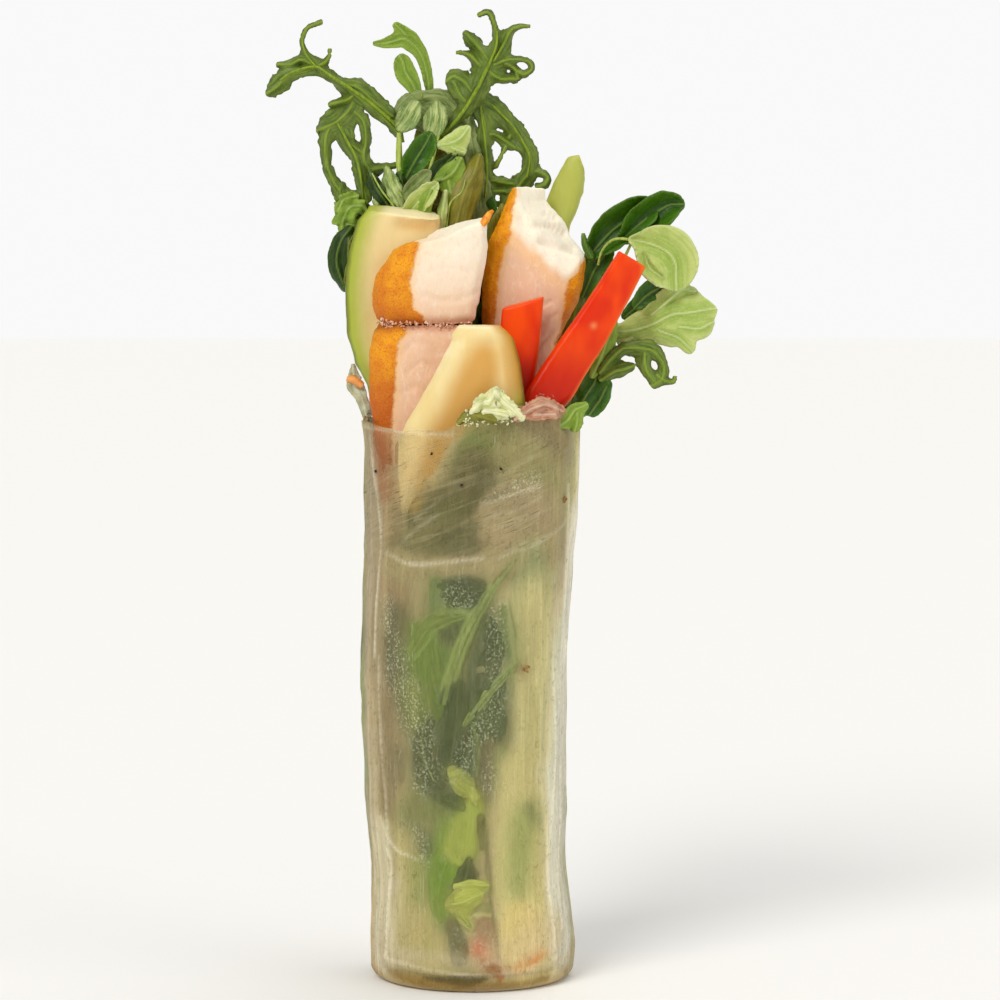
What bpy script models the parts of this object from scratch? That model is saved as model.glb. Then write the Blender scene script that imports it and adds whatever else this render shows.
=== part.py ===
# Rice paper roll that stands on its folded foot, open at the top, with its fillings and greens.
# Metres, +Z up. The origin is the centre of the flat foot, and the front of the roll faces -Y.
# Every filling is a loft: rings of one rounded section along a smooth path through a few stations.
import math

import bmesh
import bpy
from mathutils import Vector

MM = 0.001
GAP = 0.35 * MM  # left between pieces that touch in the real roll

# The paper: a closed-bottom tube of several pressed turns.
PAPER_WALL = 1.1 * MM
FOOT_THICK = 4.0 * MM  # the paper folded under the fillings
FOOT_RADIUS = 19.0 * MM  # the flat that it stands on
FOOT_ROUND = 2.6 * MM  # height of the rounded edge above the flat
DEPTH_SHARE = 0.96  # the roll is a little flatter from front to back
LEAN = -1.9 * MM  # how far the middle of the roll bows to the left
PAPER_SIDES = 36
PAPER_LEVELS = 11
INNER_LEVELS = 9
# Outer radius against height, both in millimetres.
RADIUS_POINTS = (
    (0, 21.3), (8, 21.7), (24, 20.8), (38, 21.6), (66, 22.0), (90, 22.3), (118, 22.5), (132, 22.4),
)
# Height of the torn rim in millimetres against the angle in degrees: -90 is the front, 180 the left.
RIM_POINTS = (
    (-180, 127.5), (-158, 123), (-135, 118.6), (-100, 118.6), (-72, 121), (-45, 123.6),
    (-15, 121.4), (20, 121), (60, 124.5), (95, 123.5), (122, 122.5), (140, 119.5), (158, 119), (180, 127.5),
)  # fmt: skip
# A loose corner of paper that sticks out at the left of the rim.
FLAP_OUT = 4.6 * MM
FLAP_ANGLE = 32.0
FLAP_FROM = 113.0 * MM
FLAP_RISE = 12.0 * MM

# The packed greens inside the paper, and the bushy stems that leave it at the back.
CORE_RADIUS = 18.7 * MM
CORE_SIDES = 22
CORE_FOOT = FOOT_THICK + GAP
CORE_TOP = 114.0 * MM

FRONT = (0.0, -1.0, 0.0)


def clear_scene():
    for obj in list(bpy.data.objects):
        bpy.data.objects.remove(obj)


def material(name, colour, roughness):
    made = bpy.data.materials.new(name)
    made.use_nodes = True
    shader = made.node_tree.nodes["Principled BSDF"]
    shader.inputs["Base Color"].default_value = (*colour, 1.0)
    shader.inputs["Roughness"].default_value = roughness
    shader.inputs["Metallic"].default_value = 0.0
    made.diffuse_color = (*colour, 1.0)
    return made


def eased(points, at):
    """The value at `at` on a smooth curve through (place, value) points, flat at both ends."""
    if at <= points[0][0]:
        return points[0][1]
    for (a, low), (b, high) in zip(points, points[1:]):
        if at <= b:
            share = (at - a) / (b - a)
            return low + (high - low) * share * share * (3 - 2 * share)
    return points[-1][1]


def catmull(values, share):
    """The point at share, 0 to 1, on a Catmull-Rom curve through the tuples in values."""
    spans = len(values) - 1
    place = min(share * spans, spans - 1e-9)
    index = int(place)
    t = place - index
    before = values[max(index - 1, 0)]
    start, end = values[index], values[index + 1]
    after = values[min(index + 2, spans)]
    return tuple(
        0.5 * (
            2 * p1 + (p2 - p0) * t + (2 * p0 - 5 * p1 + 4 * p2 - p3) * t**2
            + (3 * p1 - p0 - 3 * p2 + p3) * t**3
        )
        for p0, p1, p2, p3 in zip(before, start, end, after)
    )


def solid(name, rings, finish, smooth=True):
    """One closed body from rings of equal length, each end closed by a flat face."""
    form = bmesh.new()
    placed = [[form.verts.new(point) for point in ring] for ring in rings]
    for low, high in zip(placed, placed[1:]):
        for i, corner in enumerate(low):
            j = (i + 1) % len(low)
            form.faces.new((corner, low[j], high[j], high[i]))
    form.faces.new(placed[0])
    form.faces.new(placed[-1])
    bmesh.ops.recalc_face_normals(form, faces=form.faces)
    mesh = bpy.data.meshes.new(name)
    form.to_mesh(mesh)
    form.free()
    if smooth:
        mesh.shade_smooth()
        mesh.set_sharp_from_angle(angle=math.radians(40))
    mesh.materials.append(finish)
    obj = bpy.data.objects.new(name, mesh)
    bpy.context.scene.collection.objects.link(obj)
    return obj


def section(centre, along, facing, half_width, half_depth, squareness, sides):
    """A rounded rectangle across `along`, its broad side towards `facing`."""
    wide = along.cross(facing).normalized()
    deep = wide.cross(along).normalized()
    ring = []
    for i in range(sides):
        turn = 2 * math.pi * (i + 0.5) / sides
        c, s = math.cos(turn), math.sin(turn)
        u = math.copysign(abs(c) ** (2 / squareness), c)
        v = math.copysign(abs(s) ** (2 / squareness), s)
        ring.append(centre + wide * (half_width * u) + deep * (half_depth * v))
    return ring


def loft(name, stations, finish, facing=FRONT, squareness=3.2, sides=14, steps=2, level_ends=True):
    """A solid through stations of (x, y, z, half width, half depth) in millimetres."""
    count = (len(stations) - 1) * steps
    path = [[value * MM for value in catmull(stations, i / count)] for i in range(count + 1)]
    centres = [Vector(values[:3]) for values in path]
    rings = []
    for i, values in enumerate(path):
        along = (centres[min(i + 1, count)] - centres[max(i - 1, 0)]).normalized()
        if level_ends and i in (0, count):
            along = Vector((0, 0, math.copysign(1, along.z)))
        rings.append(section(centres[i], along, Vector(facing), values[3], values[4], squareness, sides))
    return solid(name, rings, finish)


def slice_off(obj, point, normal):
    """Cuts away what lies past the plane through point (millimetres), on the side that normal points to."""
    form = bmesh.new()
    form.from_mesh(obj.data)
    cut = bmesh.ops.bisect_plane(
        form,
        geom=form.verts[:] + form.edges[:] + form.faces[:],
        plane_co=Vector(point) * MM,
        plane_no=Vector(normal).normalized(),
        clear_outer=True,
        dist=1e-6,
    )
    edges = [item for item in cut["geom_cut"] if isinstance(item, bmesh.types.BMEdge)]
    bmesh.ops.holes_fill(form, edges=edges, sides=0)
    bmesh.ops.recalc_face_normals(form, faces=form.faces)
    form.to_mesh(obj.data)
    form.free()
    obj.data.shade_smooth()
    obj.data.set_sharp_from_angle(angle=math.radians(40))


def largest_body(obj):
    """Keeps only the largest connected body of a mesh object."""
    form = bmesh.new()
    form.from_mesh(obj.data)
    left = set(form.verts)
    bodies = []
    while left:
        queue = [left.pop()]
        body = set(queue)
        while queue:
            vert = queue.pop()
            for edge in vert.link_edges:
                other = edge.other_vert(vert)
                if other in left:
                    left.discard(other)
                    body.add(other)
                    queue.append(other)
        bodies.append(body)
    bodies.sort(key=len)
    for body in bodies[:-1]:
        bmesh.ops.delete(form, geom=list(body), context="VERTS")
    form.to_mesh(obj.data)
    form.free()


def carve(obj, neighbours):
    """Cuts obj back from its neighbours, leaving GAP to each."""
    cutters = bpy.data.collections.new(obj.name + "_cutters")
    bpy.context.scene.collection.children.link(cutters)
    cutters.hide_render = True
    for neighbour in neighbours:
        mesh = neighbour.data.copy()
        moved = [vert.co + vert.normal * (GAP * 1.5) for vert in mesh.vertices]
        for vert, place in zip(mesh.vertices, moved):
            vert.co = place
        cutter = bpy.data.objects.new(f"{obj.name}_cut_{neighbour.name}", mesh)
        cutters.objects.link(cutter)
        cutter.hide_render = True
        cutter.display_type = "WIRE"
    cut = obj.modifiers.new("carve", "BOOLEAN")
    cut.operation = "DIFFERENCE"
    cut.solver = "EXACT"
    cut.operand_type = "COLLECTION"
    cut.collection = cutters
    graph = bpy.context.evaluated_depsgraph_get()
    carved = bpy.data.meshes.new_from_object(obj.evaluated_get(graph))
    obj.modifiers.remove(cut)
    obj.data = carved
    for cutter in list(cutters.objects):
        bpy.data.objects.remove(cutter)
    bpy.data.collections.remove(cutters)
    largest_body(obj)


def rim_height(angle):
    return eased(RIM_POINTS, angle) * MM


def paper_point(angle, height, inset):
    """A point of the paper's outer wall, or of a wall `inset` inside it. The angle is in degrees."""
    radius = eased(RADIUS_POINTS, height / MM) * MM
    flap = max(0.0, 1 - abs(abs(angle) - 180) / FLAP_ANGLE)
    rise = min(max((height - FLAP_FROM) / FLAP_RISE, 0.0), 1.0)
    radius += FLAP_OUT * flap * flap * (3 - 2 * flap) * rise**1.5
    if height < FOOT_ROUND:
        share = 1 - height / FOOT_ROUND
        radius -= (radius - FOOT_RADIUS) * (1 - math.sqrt(1 - share * share))
    radius -= inset
    bow = LEAN * math.sin(math.pi * min(height / (118 * MM), 1.0)) ** 2
    turn = math.radians(angle)
    return Vector((radius * math.cos(turn) + bow, radius * DEPTH_SHARE * math.sin(turn), height))


def rice_paper(finish):
    angles = [-180 + 360 * i / PAPER_SIDES for i in range(PAPER_SIDES)]
    rings = [[paper_point(a, 0.0, 0.0) for a in angles]]
    rings.append([paper_point(a, FOOT_ROUND * 0.25, 0.0) for a in angles])
    for level in range(PAPER_LEVELS + 1):
        share = level / PAPER_LEVELS
        rings.append([
            paper_point(a, FOOT_ROUND + (rim_height(a) - FOOT_ROUND) * share, 0.0) for a in angles
        ])
    for level in range(INNER_LEVELS + 1):
        share = 1 - level / INNER_LEVELS
        rings.append(
            [paper_point(a, FOOT_THICK + (rim_height(a) - FOOT_THICK) * share, PAPER_WALL) for a in angles]
        )
    return solid("rice_paper", rings, finish)


def fillings(finish):
    """The cut pieces that stand in the roll and run down inside it."""
    flesh, pear, baton, pepper = finish["chicken"], finish["avocado"], finish["cucumber"], finish["pepper"]
    made = {}
    made["chicken_left_upper"] = loft(
        "chicken_left_upper",
        (
            (-8.3, -4.2, 140.4, 9.4, 4.2),
            (-8.6, -4.3, 143.5, 11.6, 4.9),
            (-8.6, -4.3, 149.0, 12.1, 5.0),
            (-7.6, -4.2, 155.0, 11.3, 4.8),
            (-5.4, -4.0, 163.0, 9.0, 4.4),
        ),
        flesh,
        squareness=3.0,
    )
    slice_off(made["chicken_left_upper"], (-12.0, -4.0, 157.6), (-0.18, -0.12, 1.0))
    made["chicken_left_lower"] = loft(
        "chicken_left_lower",
        (
            (-9.6, -3.9, 139.8, 10.2, 4.3),
            (-10.2, -4.0, 134.0, 11.2, 5.0),
            (-10.2, -4.0, 122.0, 10.9, 5.0),
            (-9.8, -3.4, 111.0, 9.6, 4.8),
            (-9.2, -2.0, 97.0, 8.4, 4.4),
            (-8.8, -0.4, 76.0, 7.4, 4.2),
            (-8.6, 0.6, 42.0, 7.0, 4.0),
            (-8.6, 0.8, 7.0, 6.6, 4.0),
        ),
        flesh,
        squareness=3.0,
    )
    made["chicken_right"] = loft(
        "chicken_right",
        (
            (8.4, 4.6, 7.0, 6.4, 4.9),
            (8.2, 4.8, 40.0, 6.6, 5.0),
            (8.8, 5.0, 76.0, 7.0, 5.1),
            (10.0, 5.4, 104.0, 7.6, 5.2),
            (11.0, 5.7, 121.0, 8.3, 5.3),
            (12.2, 6.0, 136.0, 9.5, 5.6),
            (13.1, 6.4, 148.0, 10.3, 5.8),
            (13.9, 6.4, 158.0, 9.9, 5.8),
            (14.4, 6.4, 172.0, 8.6, 5.6),
        ),
        flesh,
        squareness=3.4,
    )
    slice_off(made["chicken_right"], (11.0, 10.0, 170.0), (0.95, -0.75, 1.0))
    slice_off(made["chicken_right"], (11.0, 6.0, 168.6), (-0.06, 0.1, 1.0))
    made["avocado_left"] = loft(
        "avocado_left",
        (
            (-9.4, 10.2, 26.0, 5.0, 3.2),
            (-9.8, 9.8, 60.0, 5.8, 3.6),
            (-10.4, 8.4, 95.0, 6.0, 3.7),
            (-11.4, 6.4, 115.0, 6.5, 3.5),
            (-13.9, 6.0, 127.0, 8.1, 3.7),
            (-16.8, 6.6, 138.0, 10.0, 4.0),
            (-17.0, 6.6, 150.0, 10.3, 4.0),
            (-16.2, 6.6, 166.0, 9.4, 3.8),
        ),
        pear,
        squareness=3.6,
    )
    slice_off(made["avocado_left"], (-16.0, 6.6, 163.4), (0.1, -0.22, 1.0))
    made["avocado_front"] = loft(
        "avocado_front",
        (
            (-9.6, -12.4, 91.0, 3.6, 2.4),
            (-8.0, -12.6, 98.0, 6.8, 3.1),
            (-5.4, -13.0, 108.0, 9.6, 3.6),
            (-2.2, -13.5, 118.0, 10.9, 3.8),
            (0.8, -14.2, 127.0, 10.4, 4.0),
            (3.2, -14.2, 134.5, 8.2, 3.8),
            (2.4, -13.8, 139.8, 6.0, 3.0),
        ),
        pear,
        squareness=3.0,
    )
    made["avocado_back"] = loft(
        "avocado_back",
        (
            (5.6, 15.2, 62.0, 2.6, 1.5),
            (6.6, 15.4, 90.0, 3.9, 1.8),
            (8.2, 15.6, 118.0, 4.5, 1.9),
            (13.4, 16.4, 142.0, 5.4, 2.4),
            (18.4, 16.8, 160.0, 5.2, 2.5),
            (22.4, 17.0, 174.0, 1.9, 1.8),
        ),
        pear,
        facing=(-0.38, -0.92, 0.0),
        squareness=2.6,
    )
    made["pepper_small"] = loft(
        "pepper_small",
        (
            (2.0, -8.8, 7.0, 3.4, 1.5),
            (1.6, -7.0, 45.0, 3.6, 1.4),
            (3.2, -6.6, 80.0, 3.8, 1.4),
            (6.2, -6.8, 105.0, 4.1, 1.5),
            (8.2, -5.0, 122.0, 4.2, 1.5),
            (9.8, -4.0, 135.0, 4.3, 1.6),
            (11.0, -3.6, 148.0, 4.3, 1.6),
        ),
        pepper,
        squareness=4.0,
    )
    slice_off(made["pepper_small"], (10.9, -3.6, 144.4), (-0.28, -0.1, 1.0))
    made["pepper_large"] = loft(
        "pepper_large",
        (
            (9.6, -13.2, 98.0, 4.4, 1.6),
            (11.0, -12.0, 106.0, 4.6, 1.6),
            (13.0, -10.0, 115.0, 4.8, 1.6),
            (15.4, -8.4, 124.0, 4.8, 1.7),
            (24.8, -6.6, 138.5, 4.3, 1.6),
            (33.6, -6.4, 153.6, 3.5, 1.5),
        ),
        pepper,
        facing=(0.42, -0.9, 0.0),
        squareness=4.0,
        level_ends=False,
    )
    made["baton_right"] = loft(
        "baton_right",
        ((9.0, -11.8, 6.2, 6.0, 3.5), (7.6, -12.0, 48.0, 6.0, 3.4), (8.8, -11.9, 94.0, 5.8, 3.3)),
        baton,
        facing=(0.6, -0.8, 0.0),
        squareness=3.6,
        steps=3,
    )
    made["baton_left"] = loft(
        "baton_left",
        ((-9.9, -11.6, 6.2, 6.2, 3.6), (-10.4, -11.7, 42.0, 6.2, 3.6), (-10.6, -11.6, 82.0, 5.6, 3.2)),
        baton,
        facing=(-0.62, -0.78, 0.0),
        squareness=3.6,
        steps=3,
    )
    return made


def leaves(finish):
    """Leaves that stand out of the bundle one by one, each a thin curved blade along its rib."""
    green, pale = finish["herb"], finish["leaf"]
    blade = {"squareness": 2.4, "sides": 10, "level_ends": False}
    made = {}
    made["mizuna_left"] = loft(
        "mizuna_left",
        (
            (-15.6, 14.0, 182.0, 2.0, 1.1),
            (-20.4, 13.6, 186.5, 4.4, 1.3),
            (-28.5, 12.5, 191.5, 3.6, 1.3),
            (-36.0, 11.0, 195.5, 5.6, 1.3),
            (-43.6, 9.5, 191.5, 2.6, 1.0),
        ),
        green,
        facing=(0.1, -1.0, 0.15),
        **blade,
    )
    made["mizuna_left_low"] = loft(
        "mizuna_left_low",
        (
            (-23.5, 14.2, 146.0, 2.4, 1.1),
            (-26.5, 13.8, 157.0, 4.6, 1.3),
            (-26.0, 13.4, 170.0, 6.6, 1.3),
            (-27.5, 13.2, 180.0, 5.6, 1.3),
            (-29.5, 13.0, 186.0, 1.6, 1.0),
        ),
        green,
        **blade,
    )
    made["shoot_middle"] = loft(
        "shoot_middle",
        (
            (-9.4, 16.6, 184.0, 4.4, 1.2),
            (-11.2, 16.2, 191.0, 4.6, 1.4),
            (-10.2, 14.8, 198.0, 2.2, 1.2),
            (-13.6, 14.2, 202.4, 2.8, 1.2),
            (-20.4, 13.4, 201.0, 1.4, 0.9),
        ),
        pale,
        **blade,
    )
    made["mizuna_right"] = loft(
        "mizuna_right",
        (
            (-3.6, 12.4, 170.0, 2.2, 1.1),
            (-1.6, 11.8, 180.0, 4.6, 1.3),
            (3.4, 11.0, 190.0, 7.6, 1.4),
            (5.0, 10.4, 198.0, 7.2, 1.3),
            (3.4, 10.0, 206.2, 1.6, 0.9),
        ),
        green,
        **blade,
    )
    made["mizuna_right_low"] = loft(
        "mizuna_right_low",
        (
            (5.4, 19.6, 160.0, 2.2, 1.1),
            (9.4, 18.8, 168.0, 4.6, 1.3),
            (9.2, 18.0, 178.0, 4.4, 1.3),
            (5.2, 17.4, 187.0, 1.8, 1.0),
        ),
        green,
        **blade,
    )
    made["lettuce_dark"] = loft(
        "lettuce_dark",
        (
            (25.8, 4.5, 146.0, 1.4, 1.0),
            (29.0, 4.5, 153.0, 4.6, 1.3),
            (36.0, 4.5, 161.0, 5.4, 1.4),
            (43.0, 4.5, 165.8, 1.8, 1.0),
        ),
        green,
        **blade,
    )
    made["lettuce_round"] = loft(
        "lettuce_round",
        (
            (33.8, -1.0, 151.4, 1.6, 1.0), (38.0, -1.2, 153.4, 5.6, 1.3),
            (42.6, -1.2, 154.4, 6.4, 1.3), (47.4, -1.0, 155.2, 2.4, 1.0),
        ),
        pale,
        **blade,
    )
    made["lettuce_fan"] = loft(
        "lettuce_fan",
        (
            (30.0, 2.6, 136.0, 2.0, 1.0), (36.0, 2.4, 139.2, 5.0, 1.3),
            (44.0, 2.1, 142.4, 7.8, 1.3), (51.0, 1.7, 143.8, 3.4, 1.0),
        ),
        pale,
        **blade,
    )
    made["sprig_right"] = loft(
        "sprig_right",
        (
            (24.4, -1.4, 122.4, 2.0, 1.2),
            (26.6, -1.2, 128.0, 3.2, 1.4),
            (32.0, -1.4, 131.6, 3.0, 1.4),
            (38.4, -1.6, 130.4, 3.4, 1.4),
            (43.4, -1.8, 126.6, 1.4, 1.0),
        ),
        green,
        **blade,
    )
    return made


def salad_bundle(finish, neighbours):
    """The packed greens: a core inside the paper that widens into a bushy head at the back."""
    head = (
        (-1.0, 2.0, CORE_FOOT / MM, CORE_RADIUS / MM, CORE_RADIUS * DEPTH_SHARE / MM),
        (-2.0, 0.4, 30.0, CORE_RADIUS / MM - 0.6, CORE_RADIUS * DEPTH_SHARE / MM - 0.6),
        (-1.6, 0.0, 62.0, CORE_RADIUS / MM, CORE_RADIUS * DEPTH_SHARE / MM),
        (-0.4, 0.0, 94.0, CORE_RADIUS / MM + 0.3, CORE_RADIUS * DEPTH_SHARE / MM),
        (0.0, 0.6, CORE_TOP / MM, CORE_RADIUS / MM, CORE_RADIUS * DEPTH_SHARE / MM - 0.8),
        (-1.2, 9.6, 126.0, 15.4, 8.6),
        (-4.0, 13.4, 142.0, 15.0, 5.6),
        (-6.6, 15.0, 158.0, 14.2, 4.6),
        (-7.4, 15.4, 170.0, 12.6, 4.4),
        (-8.4, 15.4, 180.0, 6.4, 3.2),
    )
    first = ((0.0, 0.0, *head[0][2:]),)
    bundle = loft("salad_bundle", first + head[1:], finish, squareness=2.0, sides=CORE_SIDES)
    carve(bundle, neighbours)
    return bundle


def main():
    clear_scene()
    finish = {
        "paper": material("rice_paper", (0.62, 0.55, 0.38), 0.35),
        "chicken": material("chicken", (0.86, 0.70, 0.52), 0.5),
        "avocado": material("avocado", (0.72, 0.60, 0.24), 0.4),
        "cucumber": material("cucumber", (0.50, 0.50, 0.20), 0.35),
        "pepper": material("pepper", (0.78, 0.07, 0.01), 0.25),
        "herb": material("herb", (0.10, 0.20, 0.03), 0.45),
        "leaf": material("leaf", (0.30, 0.42, 0.09), 0.4),
    }
    paper = rice_paper(finish["paper"])
    cut_pieces = fillings(finish)
    blades = leaves(finish)
    salad_bundle(finish["herb"], [paper, *cut_pieces.values(), *blades.values()])


main()
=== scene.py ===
# Looks for a rice paper roll that stands on its folded foot, open at the top.
# Shapes are worked out in millimetres; x is right, y is away from the front, z is up.
import math

import bmesh
import bpy
import numpy as np
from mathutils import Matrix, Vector


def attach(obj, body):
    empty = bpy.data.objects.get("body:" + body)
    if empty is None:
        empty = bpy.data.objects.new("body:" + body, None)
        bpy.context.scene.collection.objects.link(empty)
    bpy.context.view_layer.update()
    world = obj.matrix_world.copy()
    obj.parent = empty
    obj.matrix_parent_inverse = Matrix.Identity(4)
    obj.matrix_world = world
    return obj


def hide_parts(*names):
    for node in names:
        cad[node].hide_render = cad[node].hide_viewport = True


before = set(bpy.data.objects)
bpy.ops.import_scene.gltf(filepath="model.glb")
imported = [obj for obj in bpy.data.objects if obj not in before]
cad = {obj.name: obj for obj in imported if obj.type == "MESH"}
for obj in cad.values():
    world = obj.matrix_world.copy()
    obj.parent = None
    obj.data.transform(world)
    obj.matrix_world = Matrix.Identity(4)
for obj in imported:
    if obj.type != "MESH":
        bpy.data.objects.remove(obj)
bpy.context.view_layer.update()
mm = 0.001
print("frame:", len(cad), "nodes")


# ---- numbers and noise

def tint(red, green, blue):  # an everyday 0-255 colour as linear light
    values = [value / 255 for value in (red, green, blue)]
    return tuple(v / 12.92 if v <= 0.04045 else ((v + 0.055) / 1.055) ** 2.4 for v in values)


def softNoise(points, size, seed=0):  # smooth noise from -1 to 1, one number for each point
    place = np.asarray(points, float) / size + (seed * 7.31 + 50.0)
    cell = np.floor(place).astype(np.int64)
    part = place - cell
    part = part * part * (3 - 2 * part)
    total = np.zeros(len(place))
    for corner in range(8):
        step = np.array([corner & 1, corner >> 1 & 1, corner >> 2 & 1])
        at = cell + step
        mixed = at[:, 0] * 73856093 ^ at[:, 1] * 19349663 ^ at[:, 2] * 83492791
        mixed = ((mixed ^ (mixed >> 13)) * 1274126177) & 0x7FFFFFFF
        value = ((mixed ^ (mixed >> 15)) % 4096) / 2047.5 - 1
        total += value * np.prod(np.where(step == 1, part, 1 - part), axis=1)
    return total


def layeredNoise(points, size, seed=0, layers=3):
    size = np.asarray(size, float)
    total = sum(softNoise(points, size / 2**layer, seed + layer) / 2**layer for layer in range(layers))
    return total / 1.6


def ramp(value, low, high):  # 0 below low, 1 above high, smooth between
    share = np.clip((np.asarray(value, float) - low) / (high - low), 0, 1)
    return share * share * (3 - 2 * share)


def eased(points, at):  # the smooth curve through (place, value) points, level at each of them
    places, values = np.array(points, float).T
    at = np.clip(at, places[0], places[-1])
    i = np.clip(np.searchsorted(places, at, side="right") - 1, 0, len(places) - 2)
    share = (at - places[i]) / (places[i + 1] - places[i])
    return values[i] + (values[i + 1] - values[i]) * share * share * (3 - 2 * share)


def smoothPath(points, step=0.4):  # Catmull-Rom through the rows of points
    points = np.array(points, float)
    rows = np.vstack([2 * points[0] - points[1], points, 2 * points[-1] - points[-2]])
    made = []
    for a, b, c, d in zip(rows, rows[1:], rows[2:], rows[3:]):
        count = max(2, int(np.linalg.norm((c - b)[:3]) / step))
        t = np.linspace(0, 1, count, endpoint=False)[:, None]
        made.append(0.5 * (2 * b + (c - a) * t + (2 * a - 5 * b + 4 * c - d) * t**2
                           + (3 * b - a - 3 * c + d) * t**3))
    return np.vstack(made + [points[-1:]])


# ---- finishes

class Wire:  # a shader socket that takes part in sums
    def __init__(self, look, socket):
        self.look = look
        self.socket = socket

    def maths(self, operation, *others):
        return self.look.node("ShaderNodeMath", {"operation": operation}, dict(enumerate((self, *others))))

    def __add__(self, other):
        return self.maths("ADD", other)

    __radd__ = __add__

    def __mul__(self, other):
        return self.maths("MULTIPLY", other)

    __rmul__ = __mul__

    def __sub__(self, other):
        return self.maths("SUBTRACT", other)

    def __rsub__(self, other):
        return self.look.node("ShaderNodeMath", {"operation": "SUBTRACT"}, {0: other, 1: self})

    def between(self, low, high):  # 0 below low, 1 above high
        settings = {"interpolation_type": "SMOOTHSTEP"}
        return self.look.node("ShaderNodeMapRange", settings,
                              {"Value": self, "From Min": low, "From Max": high})


class Look:  # one finish: a Principled shader and the nodes that feed it
    def __init__(self, name, **uniform):
        self.material = bpy.data.materials.new(name)
        self.material.use_nodes = True
        self.tree = self.material.node_tree
        self.shader = self.tree.nodes["Principled BSDF"]
        for socket, value in uniform.items():
            self.feed(self.shader.inputs[socket.replace("_", " ")], value)

    def feed(self, socket, value):
        if isinstance(value, Wire):
            self.tree.links.new(value.socket, socket)
        elif isinstance(value, tuple) and len(value) == 3 and socket.type == "RGBA":
            socket.default_value = (*value, 1.0)
        else:
            socket.default_value = value

    def node(self, kind, settings=None, inputs=None, output=0):
        made = self.tree.nodes.new(kind)
        for key, value in (settings or {}).items():
            setattr(made, key, value)
        for key, value in (inputs or {}).items():
            self.feed(made.inputs[key], value)
        return Wire(self, made.outputs[output])

    def attribute(self, name, output="Fac"):
        return self.node("ShaderNodeAttribute", {"attribute_name": name}, output=output)

    def place(self, stretch=(1, 1, 1)):  # object coordinates in millimetres, stretched
        at = self.node("ShaderNodeTexCoord", output="Object")
        scale = tuple(value / mm for value in stretch)
        return self.node("ShaderNodeVectorMath", {"operation": "MULTIPLY"}, {0: at, 1: scale})

    def onSheet(self, stretch=(1, 1, 1)):  # along and across a leaf, in millimetres
        at = self.node("ShaderNodeUVMap", {"uv_map": "UVMap"})
        return self.node("ShaderNodeVectorMath", {"operation": "MULTIPLY"}, {0: at, 1: stretch})

    def noise(self, at, scale=1.0, detail=3.0, rough=0.55, warp=0.0):
        values = {"Vector": at, "Scale": scale, "Detail": detail, "Roughness": rough, "Distortion": warp}
        return self.node("ShaderNodeTexNoise", None, values)

    def cells(self, at, scale=1.0):
        values = {"Vector": at, "Scale": scale}
        return self.node("ShaderNodeTexVoronoi", {"feature": "F1"}, values, output="Distance")

    def mix(self, share, first, second, blend="MIX"):
        settings = {"data_type": "RGBA", "blend_type": blend, "clamp_factor": True}
        return self.node("ShaderNodeMix", settings, {0: share, 6: first, 7: second}, output=2)

    def relief(self, height, strength=0.4, distance=0.3):  # height 0 to 1, distance in millimetres
        values = {"Height": height, "Strength": strength, "Distance": distance * mm}
        self.feed(self.shader.inputs["Normal"], self.node("ShaderNodeBump", None, values))

    def soften(self, weight, scale, radius=None):  # light let in below the surface, in millimetres
        self.feed(self.shader.inputs["Subsurface Weight"], weight)
        self.feed(self.shader.inputs["Subsurface Scale"], scale * mm)
        if radius:
            self.feed(self.shader.inputs["Subsurface Radius"], radius)

    def shine(self, level):
        self.feed(self.shader.inputs["Specular IOR Level"], level)

    def colour(self, value):
        self.feed(self.shader.inputs["Base Color"], value)

    def rough(self, value):
        self.feed(self.shader.inputs["Roughness"], value)


# ---- meshes

def placed(name, data):  # a new object in the scene
    piece = bpy.data.objects.new(name, data)
    bpy.context.scene.collection.objects.link(piece)
    return piece


def meshPiece(name, points, faces, look, floats=None, colours=None, sheet=None):
    mesh = bpy.data.meshes.new(name)
    mesh.from_pydata((np.asarray(points) * mm).tolist(), [], faces)
    for title, values in (floats or {}).items():
        layer = mesh.attributes.new(title, "FLOAT", "POINT")
        layer.data.foreach_set("value", np.asarray(values, np.float32))
    for title, values in (colours or {}).items():
        layer = mesh.attributes.new(title, "FLOAT_COLOR", "POINT")
        full = np.ones((len(values), 4), np.float32)
        full[:, :3] = values
        layer.data.foreach_set("color", full.ravel())
    if sheet is not None:
        layer = mesh.uv_layers.new(name="UVMap")
        corner = np.empty(len(mesh.loops), np.int32)
        mesh.loops.foreach_get("vertex_index", corner)
        layer.data.foreach_set("uv", np.asarray(sheet, np.float32)[corner].ravel())
    mesh.materials.append(look.material)
    mesh.shade_smooth()
    return placed(name, mesh)


def settle(piece):  # what the modifiers make becomes the piece's own mesh
    graph = bpy.context.evaluated_depsgraph_get()
    made = bpy.data.meshes.new_from_object(piece.evaluated_get(graph), preserve_all_data_layers=True,
        depsgraph=graph)
    piece.modifiers.clear()
    piece.data = made
    return piece


def points(mesh, field="co"):  # vertex places in millimetres, or unit normals
    values = np.empty(len(mesh.vertices) * 3, np.float32)
    if field == "co":
        mesh.vertices.foreach_get("co", values)
        return values.reshape(-1, 3).astype(float) / mm
    mesh.vertex_normals.foreach_get("vector", values)
    return values.reshape(-1, 3).astype(float)


def movePoints(mesh, places):
    mesh.vertices.foreach_set("co", (np.asarray(places, np.float32) * mm).ravel())
    mesh.update()


def addFloat(mesh, title, values):
    layer = mesh.attributes.new(title, "FLOAT", "POINT")
    layer.data.foreach_set("value", np.asarray(values, np.float32))


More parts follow.
